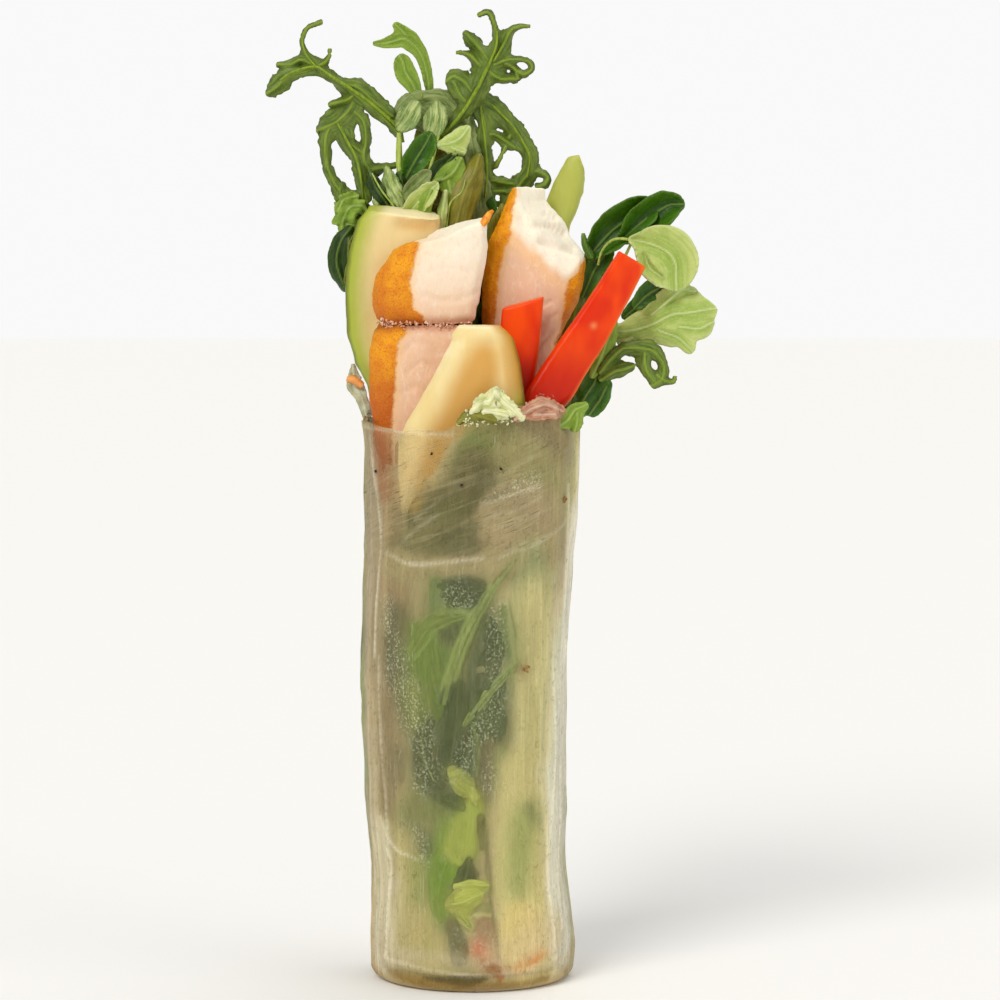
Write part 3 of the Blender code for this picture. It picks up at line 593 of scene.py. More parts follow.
film = dict(
    columns=300,
    rows=216,
    innerRows=30,
    thick=0.42,
    base=tint(214, 200, 160),
    share=0.88,  # how much of what it lies on shows in it
    # The paper's colour where it differs: colour, softness, strokes seen from the front. The pale strip on
    # the right is painted light, not the paper's own colour.
    stains=[
        (tint(186, 168, 130), 8, [[(-21, 118, 4), (-21, 92, 5), (-21, 66, 4)]]),
        (tint(232, 222, 190), 8, [[(-20, 32, 3), (-19, 18, 4), (-19, 6, 4)]]),
        # painted light: a pale strip down the right side, where light shines through the paper
        (tint(255, 250, 232), 6, [[(21, 100, 2), (20, 70, 4.0), (19.4, 40, 4.6), (19.4, 10, 5)]]),
        (tint(236, 214, 164), 7, [[(6, 8, 4), (12, 10, 5), (17, 12, 4)]]),
        (tint(232, 190, 156), 3, [[(11, 124, 2), (15, 124.6, 2), (19, 123, 1.6)]]),
        (tint(200, 132, 88), 3, [[(-19.6, 117, 2.0), (-19, 110, 1.4), (-18.6, 104, 0.6)]]),
        (tint(236, 208, 146), 4, [[(-11, 118, 3.6), (-13, 112, 3.0), (-14.4, 105, 2.2)]]),
        (tint(190, 158, 88), 4, [[(-7, 115, 2.0), (-9.4, 109, 1.8), (-12, 103, 1.0)]]),
        (tint(240, 224, 188), 1.2, [[(-19, 6.0, 0.5), (-12, 5.2, 0.4), (-4, 4.4, 0.4), (1, 4.0, 0.3),
            (3.6, 6.4, 0.3), (5.6, 6.2, 0.3),
                                    (7, 4.0, 0.3), (12, 3.8, 0.4), (19, 5.6, 0.5)]]),
        (tint(228, 214, 176), 3, [[(-20, 8, 1.4), (-12, 7.6, 1.4), (-4, 7.2, 1.4), (1, 6.8, 0.8)]]),
        (tint(222, 206, 172), 4, [[(-21.4, 54, 1.2), (-21.4, 42, 1.8), (-21, 36, 1.2)]]),
        (tint(140, 108, 40), 1.6, [[(-18, 3.0, 0.7), (-10, 2.0, 1.3), (0, 1.4, 1.4), (8, 1.5, 1.0),
            (16, 2.0, 0.7)]]),
        (tint(240, 214, 180), 0.8, [[(1.2, 5.2, 0.4), (3.2, 6.9, 0.5), (5.6, 7.2, 0.4)]]),
        (tint(168, 96, 44), 0.9, [[(2.4, 4.8, 0.5), (4.4, 5.2, 1.2), (6.0, 3.6, 0.9)]]),
        (tint(236, 156, 78), 1.4, [[(10.6, 4.9, 0.4), (13, 6.2, 0.8), (15.6, 7.4, 0.5)]]),
        # a near-black line along the fold just above the foot, darkest in the middle
        (tint(26, 24, 4), 0.9, [[(-10.5, 3.1, 0.3), (-6.5, 2.9, 0.8), (-1, 2.7, 1.2), (1.6, 3.1, 0.9),
                                 (3.0, 3.4, 0.4)]]),
        (tint(226, 206, 160), 0.9, [[(-19, 0.2, 0.8), (-8, -0.2, 0.8), (8, -0.2, 0.8), (19, 0.2, 0.8)]]),
    ],
    specks=[  # where fine pale flecks cling, strokes of (x, z, half width)
        [(-17.5, 82, 2), (-16.5, 72, 3.6), (-14, 63, 4), (-10, 52, 4), (-11, 44, 3)],
        [(4, 86, 1), (5, 74, 3.4), (5, 62, 3.4), (1, 54, 3.4), (-3, 46, 3)],
        [(-4, 84, 3.4), (0, 83, 3)], [(3, 54, 1.6), (3.6, 44, 1.8)], [(-13, 34, 3), (-11, 29, 2)],
            [(-2, 12, 2.6), (2.4, 12, 2.4)],
        [(5, 104, 2.4), (12, 108, 2)], [(7, 69, 1.2), (10, 68, 1)],
    ],
    # Folds and layer edges: height, width, cloudiness, stroke seen from the front. Cloudiness above zero
    # also paints a pale highlight along the fold.
    creases=[
        (0.45, 0.35, 0.25, [(5.5, 91.8), (9, 93.2), (12.2, 94.1), (17.4, 97), (20, 99.8)]),
        (-0.25, 0.30, -0.30, [(5.5, 91.6), (10.9, 93.9), (15.3, 95.6), (19.2, 99.0)]),
        (-0.15, 0.22, -0.26, [(-15.5, 91.8), (-11.1, 90.5), (-4.8, 90.7), (0.2, 91.6)]),
        (-0.15, 0.26, -0.22, [(-2.3, 90), (1.5, 93.9), (5.3, 96.4)]),
        (-0.10, 0.20, -0.30, [(5.9, 100.8), (10.3, 103.0)]),
        (-0.10, 0.20, -0.30, [(7.1, 98.6), (13.4, 101.2)]),
        (-0.10, 0.20, -0.24, [(9, 96.8), (14, 99.0)]),
        (-0.10, 0.26, -0.24, [(-11.8, 101.4), (-7, 104.6), (-2.3, 107.1), (5.9, 110.3), (10.3, 114.4)]),
        (-0.10, 0.40, -0.26, [(-17.7, 92.8), (-13.6, 95.6), (-9, 97.8), (-3, 99.4)]),
        (-0.05, 0.16, -0.30, [(-9.6, 118.3), (-3.5, 118.2)]),
        (-0.05, 0.30, -0.16, [(-14.2, 112), (-9, 114.2)]),
        (0.25, 0.35, 0.10, [(-11.6, 99.8), (-3.8, 106.0), (5.9, 109.2), (12, 112.4)]),
        (0.20, 0.30, 0.12, [(-16, 93.4), (-11.8, 97.4), (-7, 101)]),
        (0.35, 0.40, 0.38, [(-17.6, 92.2), (-14.5, 90.8), (-10.7, 90.4), (-4, 91.2), (2, 92.0)]),
        (0.25, 0.35, 0.22, [(1.8, 103.4), (6.6, 104.6), (13.9, 106.7)]),
        (0.15, 0.30, 0.14, [(3.0, 100.4), (9, 102.0), (14, 104.2)]),
        (0.15, 0.30, 0.14, [(4.6, 98.0), (9.6, 99.6), (16, 101.8)]),
        (0.40, 0.60, 0.34, [(19.6, 106), (19.6, 92), (18.8, 76), (18.4, 60)]),
        (0.40, 0.45, 0.36, [(17.2, 66), (17.8, 48), (17.0, 28), (17.4, 8)]),
        (0.30, 0.35, 0.30, [(19.0, 46), (19.4, 30), (19.2, 12)]),
        (0.40, 0.50, 0.34, [(-20.8, 116), (-19.6, 104), (-19.0, 94), (-20.2, 82), (-20.8, 70)]),
        (0.30, 0.45, 0.30, [(-19.6, 70), (-19.4, 50), (-18.6, 38), (-18.6, 28)]),
        (0.45, 0.35, 0.55, [(-18.6, 29.5), (-18.0, 26), (-18.4, 18), (-18.6, 6)]),
        (0.35, 0.45, 0.30, [(-19.8, 36), (-17.6, 30.4), (-12, 27.8)]),
        (0.22, 0.22, 0.30, [(-22.2, 118.2), (-14, 117.9), (-4, 117.6)]),
        (-0.10, 1.00, -0.40, [(-9.4, 3.0), (-4, 2.8), (0, 2.7), (3.4, 3.3)]),
        (-0.10, 0.45, -0.20, [(-15, 3.8), (-9.4, 3.2)]),
        (0.25, 0.35, 0.22, [(-19, 6.0), (-10, 4.9), (0, 4.0), (9, 4.6), (18, 6.2)]),
    ],
    # Cloudier (above zero) or clearer (below zero) stretches: amount, softness, strokes.
    clouds=[
        (0.22, 5, [[(10, 113, 4), (14, 106, 6), (14, 98, 5), (7, 98, 3.6)]]),
        (0.30, 4, [[(2, 118, 3), (-1, 113, 4), (-4, 107, 4), (-8, 102, 4.4), (-11, 98, 4)]]),
        (0.10, 3, [[(-16, 90, 3), (-8, 89, 2.4), (2, 90, 2.4)]]),
        (0.10, 5, [[(-19, 100, 3), (-19, 88, 3), (-19, 58, 2.4), (-18, 44, 2.4)]]),
        (0.16, 6, [[(15, 86, 4), (16, 60, 4), (16, 30, 4), (15, 10, 4)]]),
        (0.14, 5, [[(9.6, 92, 3), (12, 84, 2.4)]]),
        (0.12, 4, [[(-15, 30, 3), (-14, 12, 5)]]),
        (0.12, 4, [[(7, 121.5, 2), (14, 121, 3), (18, 119, 2)]]),
        (0.34, 1.6, [[(-19, 1.4, 1.6), (0, 1.2, 1.8), (19, 1.4, 1.6)]]),
        (-0.22, 4, [[(-19, 120, 4), (-17, 112, 3)], [(-10, 120, 4), (-12, 112, 3)]]),
        (-0.20, 3, [[(7, 89, 1.6), (1, 80, 2), (-3, 72, 2), (-6, 62, 2)],
                    [(9, 69, 1.2), (3, 63, 1.6), (-1, 58, 1.4)]]),
        (-0.18, 2, [[(-3, 46, 2), (1, 40, 2), (-1, 32, 2)], [(-3, 26, 3), (0, 20, 3.4), (0, 12, 3.4)]]),
    ],
    veil=0.40,
)


def filmLook():
    look = Look("wet_rice_paper", Roughness=0.32, IOR=1.33)
    look.shine(0.2)
    streak = look.noise(look.place((1.1, 1.1, 0.05)), 1.2, 5.0, 0.7, 1.2)
    grain = look.noise(look.place((1.2, 1.2, 0.6)), 2.2, 3.0, 0.6)
    bubble = look.cells(look.place((1, 1, 0.8)), 1.5)
    slant = look.attribute("slant", "Vector")
    band = look.attribute("band")
    brushed = look.noise(slant, 0.8, 4.0, 0.65, 0.4)
    scratch = look.noise(slant, 2.2, 2.0, 0.6, 0.3).between(0.60, 0.70) * band
    dots = look.noise(look.place((1, 1, 0.9)), 2.0, 3.0, 0.85, 0.3).between(0.53, 0.60)
    dots = dots * look.attribute("speck")
    mottle = look.noise(look.place((1, 1, 0.7)), 0.9, 5.0, 0.75, 0.8)
    line = look.attribute("line") * grain.between(0.32, 0.52)
    alpha = look.attribute("veil") + (streak - 0.5) * (1 - band * 0.7) * 0.26 + (grain - 0.5) * 0.16
    alpha = alpha + (1 - bubble.between(0.05, 0.22)) * 0.08 + (brushed - 0.5) * band * 0.36
    alpha = alpha + dots * 0.24 + scratch * 0.20
    alpha = (alpha + line * 0.7) * look.attribute("outside")
    look.feed(look.shader.inputs["Alpha"], alpha.maths("MAXIMUM", 0.02).maths("MINIMUM", 0.97))
    tone = look.attribute("tone", "Color")
    tone = look.mix(mottle.between(0.50, 0.72) * 0.55, tone, tint(120, 118, 72), "MULTIPLY")
    tone = look.mix(streak.between(0.62, 0.36) * 0.22, tone, tint(176, 158, 112))
    tone = look.mix(streak.between(0.56, 0.74) * (1 - band * 0.8) * 0.34, tone, tint(250, 244, 220))
    tone = look.mix((brushed - 0.5) * band * 1.6, tone, tint(206, 196, 158))
    tone = look.mix(look.attribute("warm"), tone, tint(184, 140, 70))
    tone = look.mix(dots * 0.6, tone, tint(206, 214, 184))
    tone = look.mix(line, tone, tint(92, 84, 44))
    look.colour(look.mix(scratch * 0.9, tone, tint(92, 84, 48)))
    look.rough(0.26 + grain * 0.2)
    look.relief(streak * 0.6 + grain * 0.4, 0.45, 0.35)
    return look


def filmWrinkles(a, h):  # height, and what the finish needs, over the outer face
    body = onWall(a, h, 22.0)
    along = unrolled(a)
    side = np.abs(np.cos(np.radians(a)))
    fold = 1 - np.abs(softNoise(body, (2.6, 2.6, 46), 4)) * 2.4
    height = 0.30 * np.clip(fold, 0, 1) ** 2 * (0.25 + 0.9 * side**2)
    fold = 1 - np.abs(softNoise(body, (4.4, 4.4, 30), 14)) * 3
    height += 0.22 * np.clip(fold, 0, 1) ** 2 * (0.4 + 0.6 * side)
    height += 0.40 * layeredNoise(body, (12, 12, 20), 2) + 0.10 * layeredNoise(body, (2.4, 2.4, 9), 8)
    veil = film["veil"] + 0.05 * layeredNoise(body, (7, 7, 15), 12) + 0.30 * side**4
    veil += 0.26 * np.clip(fold, 0, 1) ** 3 * (0.15 + 0.85 * side)
    pale, darkLine = np.zeros(len(h)), np.zeros(len(h))
    for rise, width, cloud, stroke in film["creases"]:
        gap = roundGap(along, h, [[(x, z, 0) for x, z in stroke]])
        width = max(width, 0.45)
        line = np.exp(-((gap / width) ** 2)) * (0.6 + 0.4 * softNoise(body, 3.0, 6))
        height += rise * line
        veil += 1.3 * max(cloud, 0) * line
        # painted highlight: the cloudy folds get a pale line along them
        pale = np.maximum(pale, line * min(1.0, cloud * 2.4))
        darkLine = np.maximum(darkLine, -2.6 * cloud * line)
    wander = layeredNoise(body, 4.0, 21) * 1.6
    for amount, soft, strokes in film["clouds"]:
        gap = wander + roundGap(along, h, strokes)
        veil += amount * (1 - ramp(gap, -soft / 2, soft / 2))
    tone = pressedMarks(along, h, body, 3.0)[0]
    tone = np.clip(tone * (0.92 + 0.34 * tone), 0, 0.95)  # darks stay dark
    tone = np.array(film["base"]) + (tone - np.array(film["base"])) * film["share"]
    for colour, soft, strokes in film["stains"]:
        gap = wander * min(1.0, soft / 5) + roundGap(along, h, strokes)
        tone += (np.array(colour) - tone) * (0.8 * (1 - ramp(gap, -soft / 2, soft / 2)))[:, None]
    # painted highlight: the paper turns near white along the cloudy folds
    tone += (np.array(tint(255, 250, 232)) - tone) * (0.8 * np.clip(pale, 0, 1))[:, None]
    gap = wander * 1.4 + roundGap(along, h, film["specks"])
    speck = 1 - ramp(gap, -2.0, 1.6)
    back = ramp(np.abs(along), 30, 44)
    veil += back * (0.14 + 0.12 * layeredNoise(body, (9, 9, 18), 17)) + 0.10 * ramp(h, 86, 94) * back
    band = ramp(h, 88, 95) * ramp(h, 121, 114) * (1 - back) * ramp(layeredNoise(body, 9.0, 33), -0.6, 0.3)
    lean = 0.36  # how steeply the band's streaks rise
    slant = np.stack([(along + lean * h) * 0.10, (h - lean * along) * 1.3, 0 * h], axis=-1)
    fields = {"veil": np.clip(veil, 0.03, 0.85), "speck": speck, "band": band, "tone": tone, "slant": slant,
              "line": np.clip(darkLine, 0, 1)}
    return height, fields


def paperFilm():
    columns, rows = film["columns"], film["rows"]
    angle = wholeTurn(columns)
    rimNoise = onWall(angle, 120.0, 22.0)
    ragged = 0.35 + 0.9 * ramp(np.cos(np.radians(angle)), -0.4, 0.6)
    rim = eased(wall["rim"], angle) + ragged * layeredNoise(rimNoise, (3.4, 3.4, 3.4), 3, 4)
    share = np.linspace(0, 1, rows)
    low, innerLow = wall["footRound"], 0.7
    h = low + (rim[None, :] - low) * share[:, None]
    a = np.broadcast_to(angle[None, :], h.shape)
    height, fields = filmWrinkles(a.ravel(), h.ravel())
    outer = onWall(a.ravel(), h.ravel(), wallRadius(a.ravel(), h.ravel()) + height - 0.15)
    tall = height.reshape(rows, columns)
    rings, source = [], []  # the points, and the point that each takes its looks from
    under = np.array([0.0, 0.5, 1.0, 1.6, 2.1])  # the rounded edge under the wall
    for step, z in enumerate(under):
        ring = wallRadius(angle, np.full(columns, z)) + tall[0] * (z / low) ** 0.5 - 0.15 * z / low
        rings.append(onWall(angle, np.full(columns, z), ring))
        source.append(np.arange(columns) + step * columns)
    lowest = filmWrinkles(np.tile(angle, len(under)), np.repeat(under, columns))[1]
    fields = {title: np.concatenate([lowest[title], values]) for title, values in fields.items()}
    start = len(under) * columns
    rings += [outer, outer[-columns:] + (0, 0, 0.22)]
    source += [start + np.arange(rows * columns), start + np.arange(columns) + (rows - 1) * columns]
    for share in np.linspace(1, 0, film["innerRows"]):
        row = round((rows - 1) * share)
        z = innerLow + (rim + 0.1 - innerLow) * share
        rings.append(onWall(angle, z, wallRadius(angle, z) + tall[row] - 0.15 - film["thick"]))
        source.append(start + np.arange(columns) + row * columns)
    places = np.vstack(rings)
    count = len(places)
    faces = ringFaces(count // columns, columns)
    faces += capFaces(0, columns, count, up=False)
    faces += capFaces(count - columns, columns, count + 1, up=True)
    places = np.vstack([places, [[0, 0, 0.0]], [[0, 0, innerLow]]])
    source = np.concatenate([*source, [0, 0]])
    z = places[:, 2]
    floats = {title: fields[title][source] for title in ("veil", "speck", "band", "line")}
    floats["warm"] = 0.25 * (1 - ramp(z, 1.5, 4.0))
    inside = np.arange(len(z)) >= (rows + 1) * columns + start
    floats["outside"] = np.where(inside, 0.25, 1.0)
    colours = {title: fields[title][source] for title in ("tone", "slant")}
    piece = meshPiece("rice_paper_film", places, faces, filmLook(), floats, colours)
    return give(piece, "rice_paper", "rice_paper")


pad = dict(
    columns=120,
    levels=((0.8, 17.4), (1.4, 18.8), (2.2, 19.2), (2.9, 18.9), (3.4, 18.0)),  # height and radius
    dark=tint(70, 68, 24),
    brown=tint(132, 104, 44),
    edge=tint(190, 164, 106),
)


def footPad():  # the folded paper under the fillings
    look = Look("folded_paper", Roughness=0.35)
    cloud = look.noise(look.place((1, 1, 2)), 0.35, 4.0, 0.6, 0.5)
    edge = look.attribute("rim")
    middle = look.mix(cloud.between(0.3, 0.7), pad["dark"], pad["brown"])
    look.colour(look.mix(edge, middle, pad["edge"]))
    look.relief(cloud, 0.6, 0.6)
    columns, levels = pad["columns"], pad["levels"]
    angle = wholeTurn(columns)
    rings = []
    for z, radius in levels:
        ring = onWall(angle, np.full(columns, z), radius)
        ring[:, 2] += 0.35 * softNoise(ring, 5.0, 2) * (z > 1)
        rings.append(ring)
    places = np.vstack(rings)
    count = len(places)
    side = np.abs(np.cos(np.radians(np.tile(angle, len(levels)))))
    faces = ringFaces(len(levels), columns)
    places = np.vstack([places, [[0, 0, levels[0][0]]], [[0, 0, levels[-1][0]]]])
    faces += capFaces(0, columns, count, up=False)
    faces += capFaces(count - columns, columns, count + 1, up=True)
    rimShare = np.concatenate([ramp(side, 0.30, 0.9), [0, 0]])
    return give(meshPiece("folded_foot", places, faces, look, floats={"rim": rimShare}), "rice_paper")


# ---- leaves

# For each point: distance to the leaf's outline (negative inside), depth, way along the ribs, distance
# across them, the same as a share of the blade's width, and that width.
def leafField(u, v, paths, blend):
    samples = np.vstack(paths)
    owner = np.concatenate([np.full(len(path), i) for i, path in enumerate(paths)])
    step = [np.vstack([path[1:] - path[:-1], path[-1:] - path[-2:-1]]) for path in paths]
    tangent = np.vstack(step)
    tangent = tangent / np.maximum(np.hypot(tangent[:, 0], tangent[:, 2]), 1e-6)[:, None]
    reach = np.concatenate([np.concatenate([[0], np.cumsum(np.linalg.norm(s[:-1, :3], axis=1))]) + 13 * i
                            for i, s in enumerate(step)])
    out = [np.empty(len(u)) for _ in range(6)]
    for start in range(0, len(u), 3000):
        part = slice(start, start + 3000)
        du = u[part, None] - samples[None, :, 0]
        dv = v[part, None] - samples[None, :, 2]
        gap = np.hypot(du, dv) - samples[None, :, 3]
        near = np.stack([gap[:, owner == i].min(axis=1) for i in range(len(paths))])
        low = near.min(axis=0)
        total = low - blend * np.log(np.exp(-(near - low) / blend).sum(axis=0))
        weight = np.exp(-np.clip((gap - low[:, None]) / 0.6, 0, 40))
        weight /= weight.sum(axis=1, keepdims=True)
        best = gap.argmin(axis=1)
        pick = np.arange(len(best))
        across = du[pick, best] * tangent[best, 2] - dv[pick, best] * tangent[best, 0]
        out[0][part] = total
        out[1][part] = weight @ samples[:, 1]
        out[2][part] = reach[best]
        out[3][part] = across
        out[4][part] = np.abs(across) / np.maximum(samples[best, 3], 0.3)
        out[5][part] = samples[best, 3]
    return out


usualLeaf = dict(
    cell=0.32,
    thick=0.32,
    blend=0.7,  # how softly the strokes run into each other
    ragged=(1.6, 0.3),  # size and depth of the edge's unevenness
    ruffle=(3.5, 0.7),
    rib=(0.24, 0.18),  # width and height
    cup=0.6,
    grow=0.0,
    seed=1,
)


def leafSheet(name, look, slot, leaf, replaced=()):
    leaf = {**usualLeaf, **leaf}
    cell = leaf["cell"]
    paths = [smoothPath(stroke) for stroke in leaf["strokes"]]
    for path in paths:
        path[:, 3] = np.maximum(path[:, 3], 0.22)
    samples = np.vstack(paths)
    pad = samples[:, 3].max() + 1.5
    u0, u1 = samples[:, 0].min() - pad, samples[:, 0].max() + pad
    v0, v1 = samples[:, 2].min() - pad, samples[:, 2].max() + pad
    wide, tall = int((u1 - u0) / cell) + 2, int((v1 - v0) / cell) + 2
    gridU, gridV = np.meshgrid(u0 + cell * np.arange(wide), v0 + cell * np.arange(tall))
    u, v = gridU.ravel(), gridV.ravel()
    gap, depth, along, across, outward, width = leafField(u, v, paths, leaf["blend"])
    flat = np.stack([u, depth * 0.5, v], axis=-1)
    size, amount = leaf["ragged"]
    seed = leaf["seed"]
    broad = np.clip(width / 1.3, 0.25, 1.0)  # thin tips stay thin
    gap = gap + broad * (amount * layeredNoise(flat, size, seed, 2) - leaf["grow"])
    outwardSoft = np.clip(outward, 0, 1.3)
    relief = leaf["cup"] * outwardSoft**2
    size, amount = leaf["ruffle"]
    relief += amount * (0.25 + outwardSoft) * softNoise(flat, size, seed + 40)
    ribWide, ribHigh = leaf["rib"]
    ribLine = np.exp(-((across / ribWide) ** 2))
    relief -= ribHigh * ribLine
    if "veins" in leaf:  # spacing and slant of the side veins
        spacing, slant = leaf["veins"]
        phase = ((along - slant * np.abs(across)) / spacing) % 1
        veinLine = np.exp(-(((phase - 0.5) * spacing / 0.28) ** 2)) * ramp(outward, 1.0, 0.7)
        relief -= 0.10 * veinLine - 0.05 * np.cos(phase * 2 * math.pi) * np.minimum(outwardSoft * 2, 1)
    else:
        veinLine = 0 * along
    depth = depth + relief
    field = gap.reshape(tall, wide)
    centre = (field[:-1, :-1] + field[1:, :-1] + field[:-1, 1:] + field[1:, 1:]) / 4
    keep = centre < 0
    keep[1:-1, 1:-1] &= (keep[:-2, 1:-1] | keep[2:, 1:-1]) & (keep[1:-1, :-2] | keep[1:-1, 2:])
    rows, cols = np.nonzero(keep)
    corner = rows * wide + cols
    quads = np.stack([corner, corner + 1, corner + wide + 1, corner + wide], axis=-1)
    used = np.unique(quads)
    hits = np.bincount(quads.ravel(), minlength=wide * tall)
    border = used[hits[used] < 4]
    gradV, gradU = np.gradient(field, cell)
    gradU, gradV = gradU.ravel(), gradV.ravel()
    length = np.maximum(np.hypot(gradU[border], gradV[border]), 0.3)
    shift = np.clip(-gap[border] / length, -0.6 * cell, 0.6 * cell)
    moveU, moveV = np.zeros(len(u)), np.zeros(len(u))
    moveU[border] = shift * gradU[border] / length
    moveV[border] = shift * gradV[border] / length
    u, v = u + moveU, v + moveV
    if "wrap" in leaf:  # lies under the paper, round the roll
        angle = np.degrees(u / wall["arc"]) - 90
        places = onWall(angle, v, leaf["wrap"] - depth)
    else:
        places = np.stack([u, depth, v], axis=-1)
        places = turned(places, leaf)
    renumber = np.full(wide * tall, -1)
    renumber[used] = np.arange(len(used))
    sheet = np.stack([along, across], axis=-1)[used]
    floats = {
        "rib": np.maximum(ribLine, 0.3 * veinLine)[used],
        "rim": np.clip(-gap, 0, 3)[used],
        "outward": outwardSoft[used],
    }
    piece = meshPiece(name, places[used], renumber[quads].tolist(), look, floats=floats, sheet=sheet)
    solid = piece.modifiers.new("thickness", "SOLIDIFY")
    solid.thickness = leaf["thick"] * mm
    solid.offset = 0
    settle(piece)
    return give(piece, slot, *replaced)


def turned(places, leaf):  # a leaf turned about a point, for the ones that don't face the front
    if "turn" not in leaf:
        return places
    pivot = np.array(leaf["pivot"], float)
    spin, tip = (math.radians(value) for value in leaf["turn"])
    moved = places - pivot
    x, y, z = moved.T
    y, z = y * math.cos(tip) - z * math.sin(tip), y * math.sin(tip) + z * math.cos(tip)
    x, y = x * math.cos(spin) - y * math.sin(spin), x * math.sin(spin) + y * math.cos(spin)
    return np.stack([x, y, z], axis=-1) + pivot


def leafLook(name, blade, deep, rib, tip, rough=0.45, veined=0.5, streaky=1.0, bumpy=0.5):
    blade, deep, rib, tip = (tint(*colour) for colour in (blade, deep, rib, tip))
    look = Look(name, Roughness=rough)
    look.soften(0.08, 0.6)
    look.shine(0.3)
    streak = look.noise(look.onSheet((0.4, 2.4, 1)), 0.8, 5.0, 0.62, 0.5)
    patch = look.noise(look.place(), 0.3, 3.0, 0.5)
    fine = look.cells(look.place(), 1.3)
    ribShare = look.attribute("rib")
    edge = look.attribute("rim")
    middle = look.attribute("outward").between(0.0, 1.0)
    # painted shade: where streaky is low, the middle of the leaf goes deep and the edges light, as shade in
    # the cup
    tone = look.mix(streak.between(0.36, 0.64) * streaky + middle * (1 - streaky), deep, blade)
    tone = look.mix(patch.between(0.48, 0.72) * 0.4, tone, deep)
    tone = look.mix((1 - edge.between(0.0, 0.6)) * 0.5, tone, tip)
    tone = look.mix((1 - fine.between(0.05, 0.5)) * 0.25, tone, blade)
    look.colour(look.mix(ribShare.between(0.2, 0.95) * veined, tone, rib))
    look.rough(rough - 0.06 + streak * 0.2)
    look.relief(streak * 0.6 + fine * 0.3 + ribShare * 0.2, bumpy, 0.35)
    return look


# ---- geometry nodes

class Graph:  # a geometry node tree with named inputs
    def __init__(self, name, inputs):
        self.tree = bpy.data.node_groups.new(name, "GeometryNodeTree")
        self.tree.interface.new_socket("Geometry", in_out="OUTPUT", socket_type="NodeSocketGeometry")
        self.tree.interface.new_socket("Geometry", in_out="INPUT", socket_type="NodeSocketGeometry")
        for title, kind in inputs.items():
            self.tree.interface.new_socket(title, in_out="INPUT", socket_type=kind)
        self.source = self.tree.nodes.new("NodeGroupInput")

    def node(self, kind, settings=None, inputs=None, output=0):
        made = self.tree.nodes.new(kind)
        for key, value in (settings or {}).items():
            setattr(made, key, value)
        for key, value in (inputs or {}).items():
            if isinstance(value, bpy.types.NodeSocket):
                self.tree.links.new(value, made.inputs[key])
            else:
                made.inputs[key].default_value = value
        return made.outputs[output]

    def take(self, title):
        return self.source.outputs[title]

    def finish(self, geometry):
        end = self.tree.nodes.new("NodeGroupOutput")
        self.tree.links.new(geometry, end.inputs[0])

    def grow(self, piece, **values):  # runs the tree on a piece and keeps the mesh
        modifier = piece.modifiers.new(self.tree.name, "NODES")
        modifier.node_group = self.tree
        for item in self.tree.interface.items_tree:
            key = item.name.replace(" ", "_").lower()
            if item.in_out == "INPUT" and key in values:
                modifier[item.identifier] = values[key]
        return settle(piece)


def stemGraph():  # lines with a width become round stems
    graph = Graph("stems", {"Sides": "NodeSocketInt", "Finish": "NodeSocketMaterial"})
    line = graph.node("GeometryNodeMeshToCurve", None, {"Mesh": graph.take("Geometry")})
    width = graph.node("GeometryNodeInputNamedAttribute", {"data_type": "FLOAT"}, {"Name": "width"})
    section = graph.node("GeometryNodeCurvePrimitiveCircle", None,
                         {"Resolution": graph.take("Sides"), "Radius": 1.0})
    scaled = {"Curve": line, "Profile Curve": section, "Scale": width, "Fill Caps": True}
    tube = graph.node("GeometryNodeCurveToMesh", None, scaled)
    smooth = graph.node("GeometryNodeSetShadeSmooth", None, {"Geometry": tube})
    real = graph.node("GeometryNodeRealizeInstances", None, {"Geometry": smooth})
    graph.finish(graph.node("GeometryNodeSetMaterial", None,
                            {"Geometry": real, "Material": graph.take("Finish")}))
    return graph


def scatterGraph():  # small solids at marked points, sized and turned by the points' own numbers
    inputs = {"Grain": "NodeSocketFloat", "Detail": "NodeSocketInt", "Seed": "NodeSocketInt",
              "Finish": "NodeSocketMaterial"}
    graph = Graph("scatter", inputs)
    ball = graph.node("GeometryNodeMeshIcoSphere", None,
                      {"Radius": graph.take("Grain"), "Subdivisions": graph.take("Detail")})
    place = graph.node("GeometryNodeInputPosition")
    pushed = graph.node("ShaderNodeVectorMath", {"operation": "SCALE"}, {0: place, "Scale": 900.0})
    rough = graph.node("ShaderNodeTexNoise", None, {"Vector": pushed, "Scale": 1.7, "Detail": 2.0},
                       output=1)
    middle = graph.node("ShaderNodeVectorMath", {"operation": "SUBTRACT"}, {0: rough, 1: (0.5, 0.5, 0.5)})
    shift = graph.node("ShaderNodeVectorMath", {"operation": "SCALE"}, {0: middle, "Scale": 0.9 * mm})
    lump = graph.node("GeometryNodeSetPosition", None, {"Geometry": ball, "Offset": shift})
    size = graph.node("GeometryNodeInputNamedAttribute", {"data_type": "FLOAT_VECTOR"}, {"Name": "size"})
    low, high = (0.0, 0.0, 0.0), (6.28, 6.28, 6.28)
    turn = graph.node("FunctionNodeRandomValue", {"data_type": "FLOAT_VECTOR"},
                      {0: low, 1: high, "Seed": graph.take("Seed")})
    values = {"Points": graph.take("Geometry"), "Instance": lump, "Rotation": turn, "Scale": size}
    spread = graph.node("GeometryNodeInstanceOnPoints", None, values)
    real = graph.node("GeometryNodeRealizeInstances", None, {"Geometry": spread})
    smooth = graph.node("GeometryNodeSetShadeSmooth", None, {"Geometry": real})
    graph.finish(graph.node("GeometryNodeSetMaterial", None,
                            {"Geometry": smooth, "Material": graph.take("Finish")}))
    return graph


